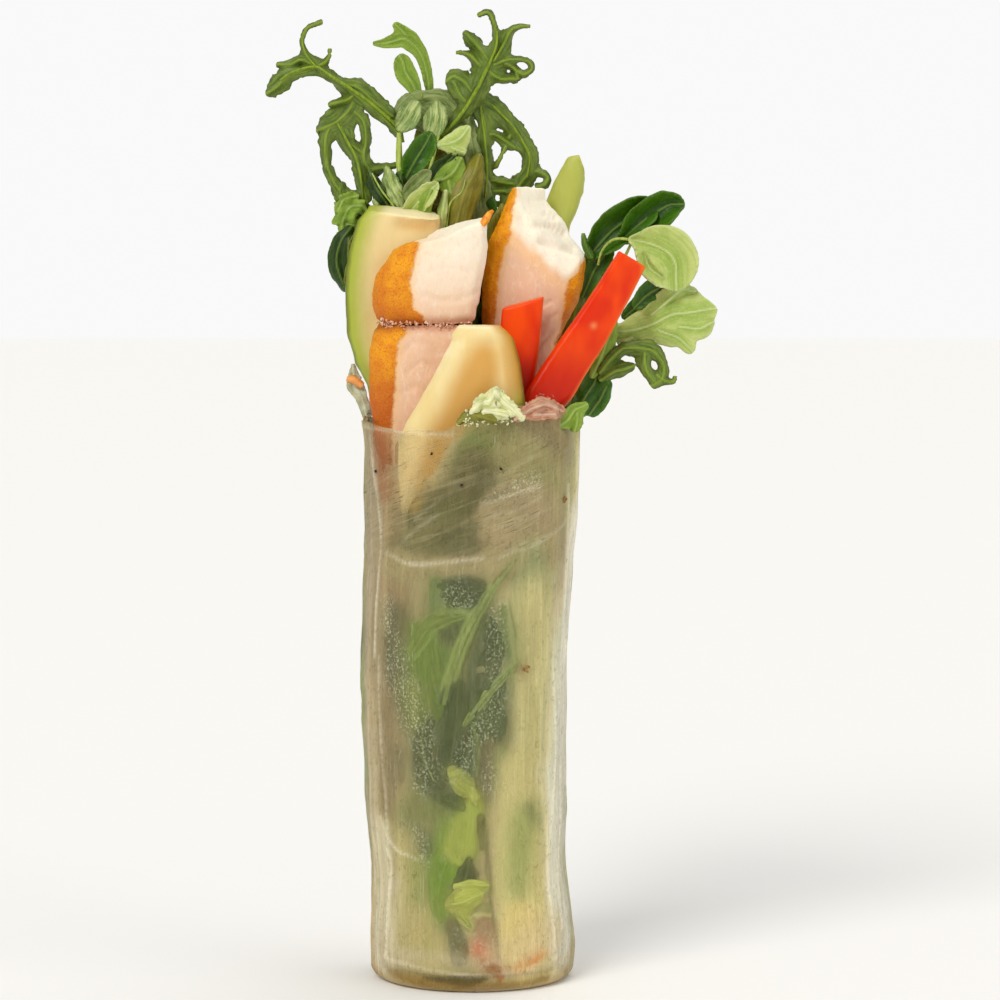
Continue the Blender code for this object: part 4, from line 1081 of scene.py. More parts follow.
def stems(name, look, slot, strokes, graph):  # strokes are rows of x, y, z, radius
    places, edges, widths = [], [], []
    for stroke in strokes:
        path = smoothPath(stroke, 0.6)
        start = len(places)
        places += path[:, :3].tolist()
        widths += (np.maximum(path[:, 3], 0.05) * mm).tolist()
        edges += [(start + i, start + i + 1) for i in range(len(path) - 1)]
    mesh = bpy.data.meshes.new(name)
    mesh.from_pydata((np.array(places) * mm).tolist(), edges, [])
    addFloat(mesh, "width", widths)
    piece = placed(name, mesh)
    graph.grow(piece, sides=8, finish=look.material)
    return give(piece, slot)


def scatter(name, look, slot, places, sizes, graph, grain=0.3, detail=2, seed=1):
    mesh = bpy.data.meshes.new(name)
    mesh.from_pydata((np.asarray(places) * mm).tolist(), [], [])
    layer = mesh.attributes.new("size", "FLOAT_VECTOR", "POINT")
    layer.data.foreach_set("vector", np.asarray(sizes, np.float32).ravel())
    piece = placed(name, mesh)
    graph.grow(piece, grain=grain * mm, detail=detail, seed=seed, finish=look.material)
    return give(piece, slot)


def stemLook(name, light, dark):
    look = Look(name, Roughness=0.42)
    look.shine(0.35)
    streak = look.noise(look.place((1.5, 1.5, 0.4)), 1.0, 3.0, 0.6)
    look.colour(look.mix(streak.between(0.35, 0.68), dark, light))
    look.relief(streak, 0.3, 0.2)
    return look


# ---- the cut fillings

def fromSolid(name, node, voxel, look, smooth=3):  # a fine, even mesh of a CAD solid
    form = bmesh.new()
    form.from_mesh(cad[node].data)
    bmesh.ops.remove_doubles(form, verts=form.verts, dist=1e-6)
    mesh = bpy.data.meshes.new(name)
    form.to_mesh(mesh)
    form.free()
    mesh.materials.clear()
    piece = placed(name, mesh)
    remesh = piece.modifiers.new("even", "REMESH")
    remesh.mode = "VOXEL"
    remesh.voxel_size = voxel * mm
    relax = piece.modifiers.new("relax", "SMOOTH")
    relax.factor = 0.5
    relax.iterations = smooth
    settle(piece)
    piece.data.materials.clear()
    piece.data.materials.append(look.material)
    piece.data.shade_smooth()
    return piece


def edgeAt(places, side):  # the piece's own left (-1) or right (+1) edge at each point's height
    z = places[:, 2]
    bins = np.arange(z.min(), z.max() + 2, 2.0)
    index = np.digitize(z, bins)
    groups = [side * places[index == i, 0] for i in range(len(bins) + 1)]
    edge = np.array([group.max() if len(group) else np.nan for group in groups])
    good = ~np.isnan(edge)
    middle = np.concatenate([[bins[0]], bins]) + 1.0
    return side * np.interp(z, middle[good], edge[good])


def fitSides(places, left, right):  # moves the sides to (z, x) outlines, less and less below them
    fade = 8.0
    z = places[:, 2]
    low, high = edgeAt(places, -1), edgeAt(places, 1)
    share = np.clip((places[:, 0] - low) / np.maximum(high - low, 0.1), 0, 1)
    newLow, newHigh = low, high
    for side, table in (("low", left), ("high", right)):
        if not table:
            continue
        heights, wanted = np.array(sorted(table), float).T
        hold = ramp(z, heights[0] - fade, heights[0])
        target = np.interp(z, heights, wanted)
        if side == "low":
            newLow = low + (target - low) * hold
        else:
            newHigh = high + (target - high) * hold
    made = places.copy()
    made[:, 0] = newLow + share * (newHigh - newLow)
    return made


def grooves(places, normals, cuts):  # shallow cuts seen from the front
    depth = np.zeros(len(places))
    for deep, wide, stroke in cuts:
        path = [(x, 0.0, z, 0.0) for x, z in stroke]
        gap = strokeGap(places[:, 0], places[:, 2], [path])
        depth += deep * np.exp(-((gap / wide) ** 2))
    return depth * ramp(-normals[:, 1] + 0.9 * normals[:, 2], 0.0, 0.4)


meat = dict(
    pale=tint(255, 245, 224),
    rosy=tint(234, 184, 146),
    crust=tint(248, 168, 10),
    deep=tint(226, 124, 6),
    # dark brown for the crust's charred pits, also used as painted shade in the crease
    charAndShade=tint(150, 66, 8),
    pinchHeight=139.8,  # where the left strip is pinched in two
    cutInward=(0, 0.8, -0.45),  # the way a cut goes into the meat
    # For each piece: (z, x) outlines, the crust's inner edges, the ridge under the cut top as (x, z), cuts
    # as depth, width and an (x, z) stroke; how far its end moves up and how much browner its crust gets,
    # each with the heights where that starts and is full; and the top's extra height as (x, height).
    pieces={
        "chicken_left_upper": dict(
            voxel=0.40,
            endShift=(-1.0, 143, 140.6),
            topRise=((-18, 0), (-10.7, 0.4), (-3.4, 0.9), (1.7, 1.6), (4, 1.6)),
            deepening=(0.8, 150, 138),
            left=((141, -20.4), (144, -21.1), (147.8, -20.6), (150.4, -19.9), (152.6, -18.4),
                  (155.2, -16.8), (157.4, -12)),
            right=((141, 1.2), (147, 1.7), (155, 3.2), (161, 3.0)),
            edge=((139, -9.6), (141.2, -10.3), (143.7, -12.4), (148.5, -13.0), (153.8, -12), (157.7, -10.7),
                  (162, -10)),
            far=40,
            ridge=((-21, 156), (-10, 157), (4, 160)),
            cuts=[(0.4, 0.7, ((-10, 146), (-4, 145), (2, 147))),
                  (0.3, 0.6, ((-9, 151), (-5, 152), (-1, 151)))],
        ),
        "chicken_left_lower": dict(
            voxel=0.50,
            endShift=(0.5, 136, 139.6),
            deepening=(1.0, 136, 122),
            left=((118, -20.9), (126, -21.7), (133, -21.6), (139.4, -20.6)),
            right=None,
            edge=((60, -17), (119.2, -16.9), (122.7, -16.7), (129.8, -16), (135.5, -15.6), (138.4, -14.1)),
            far=40,
            ridge=((-21, 150), (4, 150)),
            cuts=[
                (0.5, 0.5, ((-14.5, 134), (-12, 136.2), (-9.4, 136), (-7, 134))),
                (0.5, 0.5, ((-13.5, 130), (-11.2, 132), (-8.8, 131.6), (-6.6, 130))),
                (0.35, 0.7, ((-14, 126), (-11, 127), (-8, 125))),
            ],
        ),
        "chicken_right": dict(
            voxel=0.42,
            endShift=(0.0, 136, 139.6),
            deepening=(0.8, 150, 138),
            left=((138, 2.2), (145.4, 2.1), (151.1, 2.6), (156.8, 3.6), (161.7, 5.8), (165.3, 7.2),
                  (168.1, 8.3)),
            right=((135.5, 17.9), (139.7, 20), (144, 22.5), (147.6, 23.5), (153.6, 24.1), (157, 21.6),
                   (161, 20), (165.6, 16.1)),
            edge=((60, 1), (140, 4.6), (144, 5), (148.3, 5.4), (153.9, 6.5), (158.9, 7.9), (162.5, 8.3),
                  (167.1, 9.3), (170, 10)),
            far=((135, 17.4), (139.7, 18.9), (144, 19.3), (148.3, 20.2), (151.2, 22.8), (154, 24.6),
                 (170, 40)),
            ridge=((3, 170), (7, 161), (8.6, 158.9), (12.9, 155.4), (17.1, 151.1), (20, 149), (23.5, 151.8),
                   (26, 152)),
            cuts=[
                (0.85, 0.85, ((13.6, 160.4), (16.4, 160.2), (19.2, 158.8))),
                (0.95, 0.85, ((14.4, 157.0), (17.6, 156.0), (21, 155.2))),
                (0.70, 0.85, ((10.0, 161.6), (10.8, 158.4), (13.2, 155.6))),
                (0.50, 0.75, ((15.4, 162.8), (17.4, 162.0))),
                (0.55, 0.45, ((11, 139), (13.4, 142.5), (16.4, 144.4))),
                (0.55, 0.45, ((12, 136), (14.6, 139.6), (17.6, 141.6))),
                (0.55, 0.45, ((13, 133.6), (16.8, 138))),
            ],
        ),
    },
)


def meatLook():
    look = Look("cooked_chicken", Roughness=0.5)
    look.soften(0.22, 1.0, (1.0, 0.45, 0.25))
    look.shine(0.3)
    height = look.attribute("height")
    wobble = look.noise(look.place(), 0.7, 4.0, 0.6)
    crumb = look.noise(look.place(), 1.9, 5.0, 0.72)
    pit = look.cells(look.place(), 1.9)
    soft = look.noise(look.place(), 0.4, 2.0, 0.5)
    grainy = look.noise(look.place(), 2.6, 3.0, 0.7)
    fibre = look.noise(look.place((1.1, 1.1, 0.5)), 1.1, 5.0, 0.62, 0.8)
    edge = look.attribute("crust") + (wobble - 0.5) * 1.3 + (crumb - 0.5) * 1.2
    crusted = edge.between(-0.40, 0.42)
    # painted light: the flesh is pale where height marks the lit cut top and the upper left strip, and rosy
    # lower down as painted shade; glow adds a painted warm glow under the ridge
    flesh = look.mix(height, meat["rosy"], meat["pale"])
    flesh = look.mix(look.attribute("glow") * 0.6, flesh, tint(252, 206, 150))
    flesh = look.mix(fibre.between(0.5, 0.72) * 0.30, flesh, tint(255, 248, 236))
    flesh = look.mix(fibre.between(0.5, 0.28) * 0.18, flesh, tint(226, 170, 132))
    brown = look.mix(soft.between(0.30, 0.60) * 0.6 + 0.4, meat["deep"], meat["crust"])
    brown = look.mix(look.attribute("depth") * 0.85, brown, tint(192, 88, 8))
    brown = look.mix(look.attribute("crust").between(3.0, 8.5) * 0.55, brown, tint(206, 108, 12))
    brown = look.mix(grainy.between(0.52, 0.66) * 0.55, brown, tint(186, 78, 6))
    brown = look.mix((1 - pit.between(0.08, 0.24)) * 0.6, brown, meat["charAndShade"])
    # painted highlights: pale yellow glints on the crumbs of the crust
    brown = look.mix(grainy.between(0.44, 0.30) * 0.2, brown, tint(255, 200, 80))
    # the pinch mask darkens the crease and the cuts to dark brown and dusky pink: partly the crease's own
    # browned membrane, partly painted shade in the crease and the cuts
    pinch = look.attribute("pinch") * (0.55 + crumb * 0.7)
    brown = look.mix(pinch * 0.85, brown, meat["charAndShade"])
    flesh = look.mix(edge.between(-1.8, 0.1) * 0.5, flesh, tint(246, 198, 124))
    flesh = look.mix(pinch * 0.8, flesh, tint(190, 118, 84))
    look.colour(look.mix(crusted, flesh, brown))
    look.rough(0.55 - crusted * 0.15 + crumb * 0.1)
    look.relief(crumb * (0.2 + crusted * 0.8) + fibre * 0.5, 0.6, 0.45)
    return look


def meatPiece(node, look):
    made = meat["pieces"][node]
    piece = fromSolid(node + "_strip", node, made["voxel"], look, 4)
    places, normals = points(piece.data), points(piece.data, "normal")
    places = fitSides(places, made["left"], made["right"])
    amount, none, full = made["endShift"]
    places[:, 2] += amount * ramp(places[:, 2], none, full)
    if "topRise" in made:
        at, rise = np.array(made["topRise"], float).T
        places[:, 2] += np.interp(places[:, 0], at, rise) * ramp(places[:, 2], 150, 159)
    x, y, z = places.T
    ridge = eased(made["ridge"], x)
    over = np.maximum(0, z - ridge)
    share = (y - y.min()) / (y.max() - y.min())
    places[:, 1] += 0.36 * over * ramp(over, 0, 3) * (1 - share)  # the cut top leans back
    isLeft = node != "chicken_right"
    crust = eased(made["edge"], z) - x + 0.35 * layeredNoise(places, 2.0, 3)
    far = eased(made["far"], z) if isinstance(made["far"], tuple) else made["far"]
    crust = np.maximum(crust, x - far + 0.3 * layeredNoise(places, 1.6, 5))
    crust = np.where((normals[:, 2] > 0.75) & (over > 0), crust - 1.5, crust)
    on = ramp(crust, -0.3, 0.5)
    wobble = 0.4 * softNoise(places, 2.4, 8)
    pinch = np.exp(-(((z - meat["pinchHeight"] - wobble) / 1.3) ** 2)) * isLeft
    cut = grooves(places, normals, made["cuts"])
    bump = 0.24 * layeredNoise(places, 5.0, 1) + 0.08 * layeredNoise(places, 1.5, 2)
    bump += on * (0.26 * layeredNoise(places, 1.0, 7, 3) + 0.12) - 0.7 * pinch
    lit = ramp(z - ridge, -2.6, 1.6)
    bump += ramp(over, 0.5, 3) * 0.10 * layeredNoise(places, 1.7, 11, 3)
    inward = np.array(meat["cutInward"])
    movePoints(piece.data, places + normals * bump[:, None] + cut[:, None] * inward)
    # painted light: glow is a warm band just under the ridge, or on the upper left of the left strips
    glow = np.exp(-(((z - ridge + 2.0) / 2.2) ** 2))
    if isLeft:
        glow = 0.5 * ramp(z, 150, 158) * ramp(x, -2, -10)
    # painted light: flesh above the ridge, and the left strips higher up, count as lit and pale; lower
    # flesh stays rosy as painted shade
    high = np.maximum(lit, 0.2 + 0.65 * ramp(z, 136, 158) * isLeft)
    amount, none, full = made["deepening"]
    addFloat(piece.data, "glow", glow)
    addFloat(piece.data, "crust", np.clip(crust, -3, 9))
    addFloat(piece.data, "height", np.clip(high, 0, 1))
    addFloat(piece.data, "depth", ramp(z, none, full) * amount)
    # the cuts join the pinch mask, so they get the painted shade too
    addFloat(piece.data, "pinch", np.clip(pinch + 0.2 * cut, 0, 1))
    return give(piece, "chicken", node)


pear = dict(
    flesh=tint(240, 220, 160),
    amber=tint(214, 158, 68),
    green=tint(172, 184, 62),
    skin=tint(110, 124, 24),
    tipHeight=174.4,
    # For each piece: the side its skin is on, -1 left or 1 right; (z, x) outlines; the tip as (x, z);
    # amber strokes of (x, z, half width); cuts as depth, width and an (x, z) stroke.
    pieces={
        "avocado_left": dict(
            voxel=0.5,
            skin=-1,
            left=((120, -21.5), (126.4, -22.9), (131, -25.4), (137.6, -26.9), (147, -27.3), (155, -26.5),
                  (161.5, -24.6), (164, -22.4)),
            right=None,
            # painted shade: amber under the top lip, in the groove there
            amber=[[(-14.5, 160.2, 0.3), (-11, 160.0, 0.8), (-8.4, 160.2, 0.6)]],
            cuts=[(0.9, 1.8, ((-15, 160.6), (-11, 160.4), (-8.6, 161)))],
        ),
        "avocado_front": dict(
            voxel=0.42,
            skin=1,
            left=((92, -13.4), (99.3, -14.8), (108.6, -15.5), (116.3, -15.5), (119.9, -13.8),
                  (124.1, -11.3), (129.1, -8.4), (135.5, -5.6), (138, -4.2), (139.8, -2.9)),
            right=((92, -3), (100, 3), (110, 9), (118, 10.8), (124.1, 11.1), (131.2, 10.2), (136.9, 9),
                   (139.4, 6.8)),
            amber=[[(2.4, 133.4, 3.2), (1.4, 129, 4.4), (-1.4, 124, 4.0), (-5, 117, 3.6), (-8, 108, 3.4)],
                   # painted shade: a darker amber strip on the right-hand facet, past the cut
                   [(6.6, 135, 0.2), (7.4, 129, 0.7), (8.2, 123, 0.9)]],
            cuts=[(0.45, 1.6, ((4.2, 136), (4.8, 128), (4.4, 119)))],
        ),
        "avocado_back": dict(
            voxel=0.42,
            skin=0,
            left=((150, 12.0), (160, 13.6), (165, 14.4), (168.2, 15.4), (171, 16.6), (172.6, 18.4),
                  (173.8, 20.4), (174.4, 22.4)),
            right=((150, 19.0), (160.3, 21.2), (163.9, 22.8), (168.2, 23.9), (172, 24.2), (174.4, 23.8)),
            tip=((13, 165.6), (15.6, 170.2), (18, 173.2), (20.5, 175.2), (22.8, 175.6), (24.4, 171.5)),
            amber=[],
            cuts=[],
        ),
    },
)


def pearLook():
    look = Look("avocado_flesh", Roughness=0.42)
    look.soften(0.2, 1.0, (1.0, 0.8, 0.3))
    look.shine(0.35)
    patch = look.noise(look.place((1, 1, 0.4)), 0.22, 3.0, 0.5)
    fine = look.noise(look.place((1, 1, 0.4)), 1.4, 3.0, 0.6)
    fromSkin = look.attribute("skin") + (fine - 0.5) * 0.5
    flesh = look.mix(patch.between(0.45, 0.7) * 0.3, pear["flesh"], tint(228, 192, 104))
    # amber strokes: painted shade under the left slice's lip and on the front slice's right facet;
    # elsewhere a darker amber band
    flesh = look.mix(look.attribute("amber"), flesh, pear["amber"])
    # painted highlight: faces that look up are paler cream
    flesh = look.mix(look.attribute("top"), flesh, tint(250, 236, 190))
    flesh = look.mix(1 - fromSkin.between(1.0, 6.5), flesh,
                     look.mix(look.attribute("ripe"), pear["green"], tint(196, 142, 44)))
    look.colour(look.mix(1 - fromSkin.between(0.15, 1.4), flesh,
                         look.mix(look.attribute("ripe"), pear["skin"], tint(128, 96, 6))))
    look.rough(0.38 + fine * 0.15)
    look.relief(fine, 0.25, 0.25)
    return look


def pearPiece(node, look):
    made = pear["pieces"][node]
    piece = fromSolid(node + "_slice", node, made["voxel"], look, 5)
    places, normals = points(piece.data), points(piece.data, "normal")
    places = fitSides(places, made["left"], made["right"])
    if "tip" in made:
        at, tip = np.array(made["tip"], float).T
        top = pear["tipHeight"]
        places[:, 2] += (np.interp(places[:, 0], at, tip) - top) * ramp(places[:, 2], 158, top)
    bump = 0.30 * layeredNoise(places, 9.0, 1) + 0.06 * layeredNoise(places, 2.2, 2)
    bump -= grooves(places, normals, made["cuts"])
    movePoints(piece.data, places + normals * bump[:, None])
    fromEdge = np.full(len(places), 12.0)
    if made["skin"]:
        fromEdge = np.abs(places[:, 0] - edgeAt(places, made["skin"])) * (1.0 if made["skin"] < 0 else 1.5)
    if node == "avocado_back":
        fromEdge = 2.4 + 0 * fromEdge
    amber = np.zeros(len(places))
    if made["amber"]:
        strokes = [[(x, 0.0, z, wide) for x, z, wide in stroke] for stroke in made["amber"]]
        amber = 0.9 * (1 - ramp(strokeGap(places[:, 0], places[:, 2], strokes), -2.6, 2.8))
    addFloat(piece.data, "skin", fromEdge)
    addFloat(piece.data, "ripe", (node == "avocado_front") * ramp(places[:, 2], 121, 129))
    addFloat(piece.data, "amber", amber)
    # painted highlight: top marks the upward faces away from the skin
    addFloat(piece.data, "top", ramp(normals[:, 2], 0.2, 0.8) * 0.8 * (fromEdge > 4))
    return give(piece, "avocado", node)


pepper = dict(
    voxels={"pepper_small": 0.5, "pepper_large": 0.4},
    spot=(25.4, 139.6),  # a pale spot on the large strip, seen from the front
    spotSize=0.5,
)


def pepperLook():
    look = Look("raw_pepper", Roughness=0.3)
    look.soften(0.08, 0.6, (1.0, 0.2, 0.05))
    look.shine(0.2)
    patch = look.noise(look.place((1, 1, 0.5)), 0.16, 2.0, 0.5)
    fine = look.noise(look.place(), 1.6, 3.0, 0.5)
    skin = look.mix(patch.between(0.35, 0.7), tint(226, 46, 0), tint(250, 78, 0))
    skin = look.mix(look.attribute("low") * 0.8, skin, tint(196, 24, 0))
    skin = look.mix(look.attribute("spot"), skin, tint(244, 150, 90))
    look.colour(look.mix(look.attribute("cut"), skin, tint(246, 116, 30)))
    look.rough(0.24 + fine * 0.16)
    look.relief(fine, 0.12, 0.2)
    return look


def pepperPiece(node, look):
    piece = fromSolid(node + "_strip", node, pepper["voxels"][node], look, 2)
    places, normals = points(piece.data), points(piece.data, "normal")
    bump = 0.18 * layeredNoise(places, 7.0, 4)
    places[:, :2] *= 1 - 0.16 * ramp(places[:, 2], 125, 115)[:, None]
    movePoints(piece.data, places + normals * bump[:, None])
    right = edgeAt(places, 1) - places[:, 0]
    isLarge = node == "pepper_large"
    cut = (1 - ramp(right, 0.5, 1.4)) * 0.75 if isLarge else ramp(normals[:, 0], 0.4, 0.9) * 0.4
    spotX, spotZ = pepper["spot"]
    apart = (places[:, 0] - spotX) ** 2 + (places[:, 2] - spotZ) ** 2
    spot = np.exp(-(apart / pepper["spotSize"]))
    addFloat(piece.data, "cut", np.maximum(cut, ramp(normals[:, 2], 0.6, 0.9) * 0.3))
    addFloat(piece.data, "spot", spot * isLarge * 0.7)
    addFloat(piece.data, "low", ramp(places[:, 2], 140, 126))
    return give(piece, "pepper", node)


batons = {"baton_right": (26, 48), "baton_left": (16, 34)}  # the heights where the green begins and is full


def batonLook():
    look = Look("pale_baton", Roughness=0.4)
    look.soften(0.25, 1.5)
    streak = look.noise(look.place((1.2, 1.2, 0.08)), 1.0, 4.0, 0.6)
    patch = look.noise(look.place((1, 1, 0.5)), 0.12, 2.0, 0.5)
    green = look.attribute("green") + (patch - 0.5) * 0.8
    tone = look.mix(streak.between(0.35, 0.7) * 0.5, tint(204, 194, 120), tint(170, 168, 88))
    look.colour(look.mix(green.between(0.1, 0.9), tone, tint(140, 160, 66)))
    look.relief(streak, 0.4, 0.4)
    return look


def batonPiece(node, look):
    low, high = batons[node]
    piece = fromSolid(node + "_stick", node, 0.7, look, 3)
    places, normals = points(piece.data), points(piece.data, "normal")
    grown = places.copy()
    outward = 1.02 - 0.06 * ramp(places[:, 2], low, high)  # presses on the paper near the foot
    grown[:, :2] *= outward[:, None]
    bump = 0.25 * layeredNoise(places, (4, 4, 20), 4)
    movePoints(piece.data, grown + normals * bump[:, None])
    addFloat(piece.data, "green", ramp(places[:, 2], low, high))
    return give(piece, "cucumber", node)


# ---- light, floor and camera

studio = dict(
    floorSize=3.0,
    floorTones=((0.93, 0.93, 0.925), (0.88, 0.88, 0.88)),
    room=(1.0, 0.985, 0.96, 1),
    roomStrength=0.42,
    behind=(0.95, 0.95, 0.95, 1),
    suns={  # where it comes from, strength, softness in degrees, warmth
        "key": ((-0.50, -0.80, 0.80), 1.62, 30, (1.0, 0.97, 0.92)),
        "fill": ((0.85, -0.45, 0.30), 0.62, 45, (1.0, 0.98, 0.94)),
        "top": ((0.20, 0.25, 1.00), 0.80, 40, (1.0, 0.98, 0.95)),
    },
    aim=(0.0058, 0.0, 0.1022),
    distance=0.82,
    lift=5,  # degrees above the level
    lens=138.9,
)


def stage():
    look = Look("plain_floor", Roughness=0.9)
    look.colour(look.mix(look.noise(look.place(), 0.02, 2.0) * 0.05, *studio["floorTones"]))
    size = studio["floorSize"]
    corners = [(-size, -size, 0), (size, -size, 0), (size, size, 0), (-size, size, 0)]
    mesh = bpy.data.meshes.new("floor")
    mesh.from_pydata(corners, [], [(0, 1, 2, 3)])
    mesh.materials.append(look.material)
    placed("floor", mesh)
    world = bpy.data.worlds.new("studio")
    world.use_nodes = True
    nodes, links = world.node_tree.nodes, world.node_tree.links
    soft = nodes["Background"]
    soft.inputs["Color"].default_value = studio["room"]
    soft.inputs["Strength"].default_value = studio["roomStrength"]
    clear = nodes.new("ShaderNodeBackground")  # what stands behind the roll is plain and pale
    clear.inputs["Color"].default_value = studio["behind"]
    seen = nodes.new("ShaderNodeLightPath")
    choice = nodes.new("ShaderNodeMixShader")
    links.new(seen.outputs["Is Camera Ray"], choice.inputs[0])
    links.new(soft.outputs[0], choice.inputs[1])
    links.new(clear.outputs[0], choice.inputs[2])
    links.new(choice.outputs[0], nodes["World Output"].inputs["Surface"])
    bpy.context.scene.world = world
    for name, (place, strength, soft, warmth) in studio["suns"].items():
        sun = bpy.data.lights.new(name, "SUN")
        sun.energy = strength
        sun.angle = math.radians(soft)
        sun.color = warmth
        placed(name, sun).rotation_euler = (-Vector(place)).to_track_quat("-Z", "Y").to_euler()


def camera():
    aim, lift = Vector(studio["aim"]), math.radians(studio["lift"])
    lens = bpy.data.cameras.new("camera")
    lens.lens = studio["lens"]
    lens.clip_start = 0.01
    view = placed("camera", lens)
    view.location = aim + studio["distance"] * Vector((0, -math.cos(lift), math.sin(lift)))
    view.rotation_euler = (aim - view.location).to_track_quat("-Z", "Y").to_euler()
    bpy.context.scene.camera = view
    bpy.context.scene.view_settings.view_transform = "Standard"


camera()
stage()
print("camera, lights and floor")

packedCore()
print("packed core")
paperFilm()
footPad()
print("paper film and folded foot")

cooked = meatLook()
halves = {node: meatPiece(node, cooked) for node in meat["pieces"]}
ripe = pearLook()
for node in pear["pieces"]:
    pearPiece(node, ripe)
red = pepperLook()
for node in pepper["voxels"]:
    pepperPiece(node, red)
watery = batonLook()
for node in batons:
    batonPiece(node, watery)
print("cut fillings")

mizunaGreen = leafLook(
    "mizuna_green", (116, 138, 52), (72, 94, 30), (148, 174, 40), (76, 82, 42), 0.4, 0.6, 0.8, 0.25)
softGreen = leafLook("soft_green", (146, 174, 62), (96, 130, 34), (190, 204, 110), (140, 164, 66),
                     streaky=0.5)
darkGreen = leafLook("dark_green", (70, 118, 14), (26, 62, 4), (136, 168, 60), (90, 124, 34), 0.32,
                     streaky=0.25)
nightGreen = leafLook("night_green", (54, 82, 20), (20, 40, 6), (120, 150, 50), (60, 84, 30), 0.4,
                      streaky=0.5)
paleGreen = leafLook("pale_green", (204, 216, 132), (142, 172, 66), (230, 234, 182), (214, 222, 160), 0.4,
                     streaky=0.3)
mottled = leafLook("mottled_green", (190, 202, 134), (96, 128, 52), (206, 214, 140), (96, 122, 52), 0.45,
                   0.5, 0.9)
oliveGreen = leafLook("olive_green", (146, 140, 44), (104, 102, 28), (170, 170, 80), (112, 122, 50), 0.4,
                      0.3, 0.7, 0.3)
greyGreen = leafLook("grey_green", (152, 166, 102), (104, 126, 58), (170, 184, 110), (150, 156, 112),
                     veined=0.4)

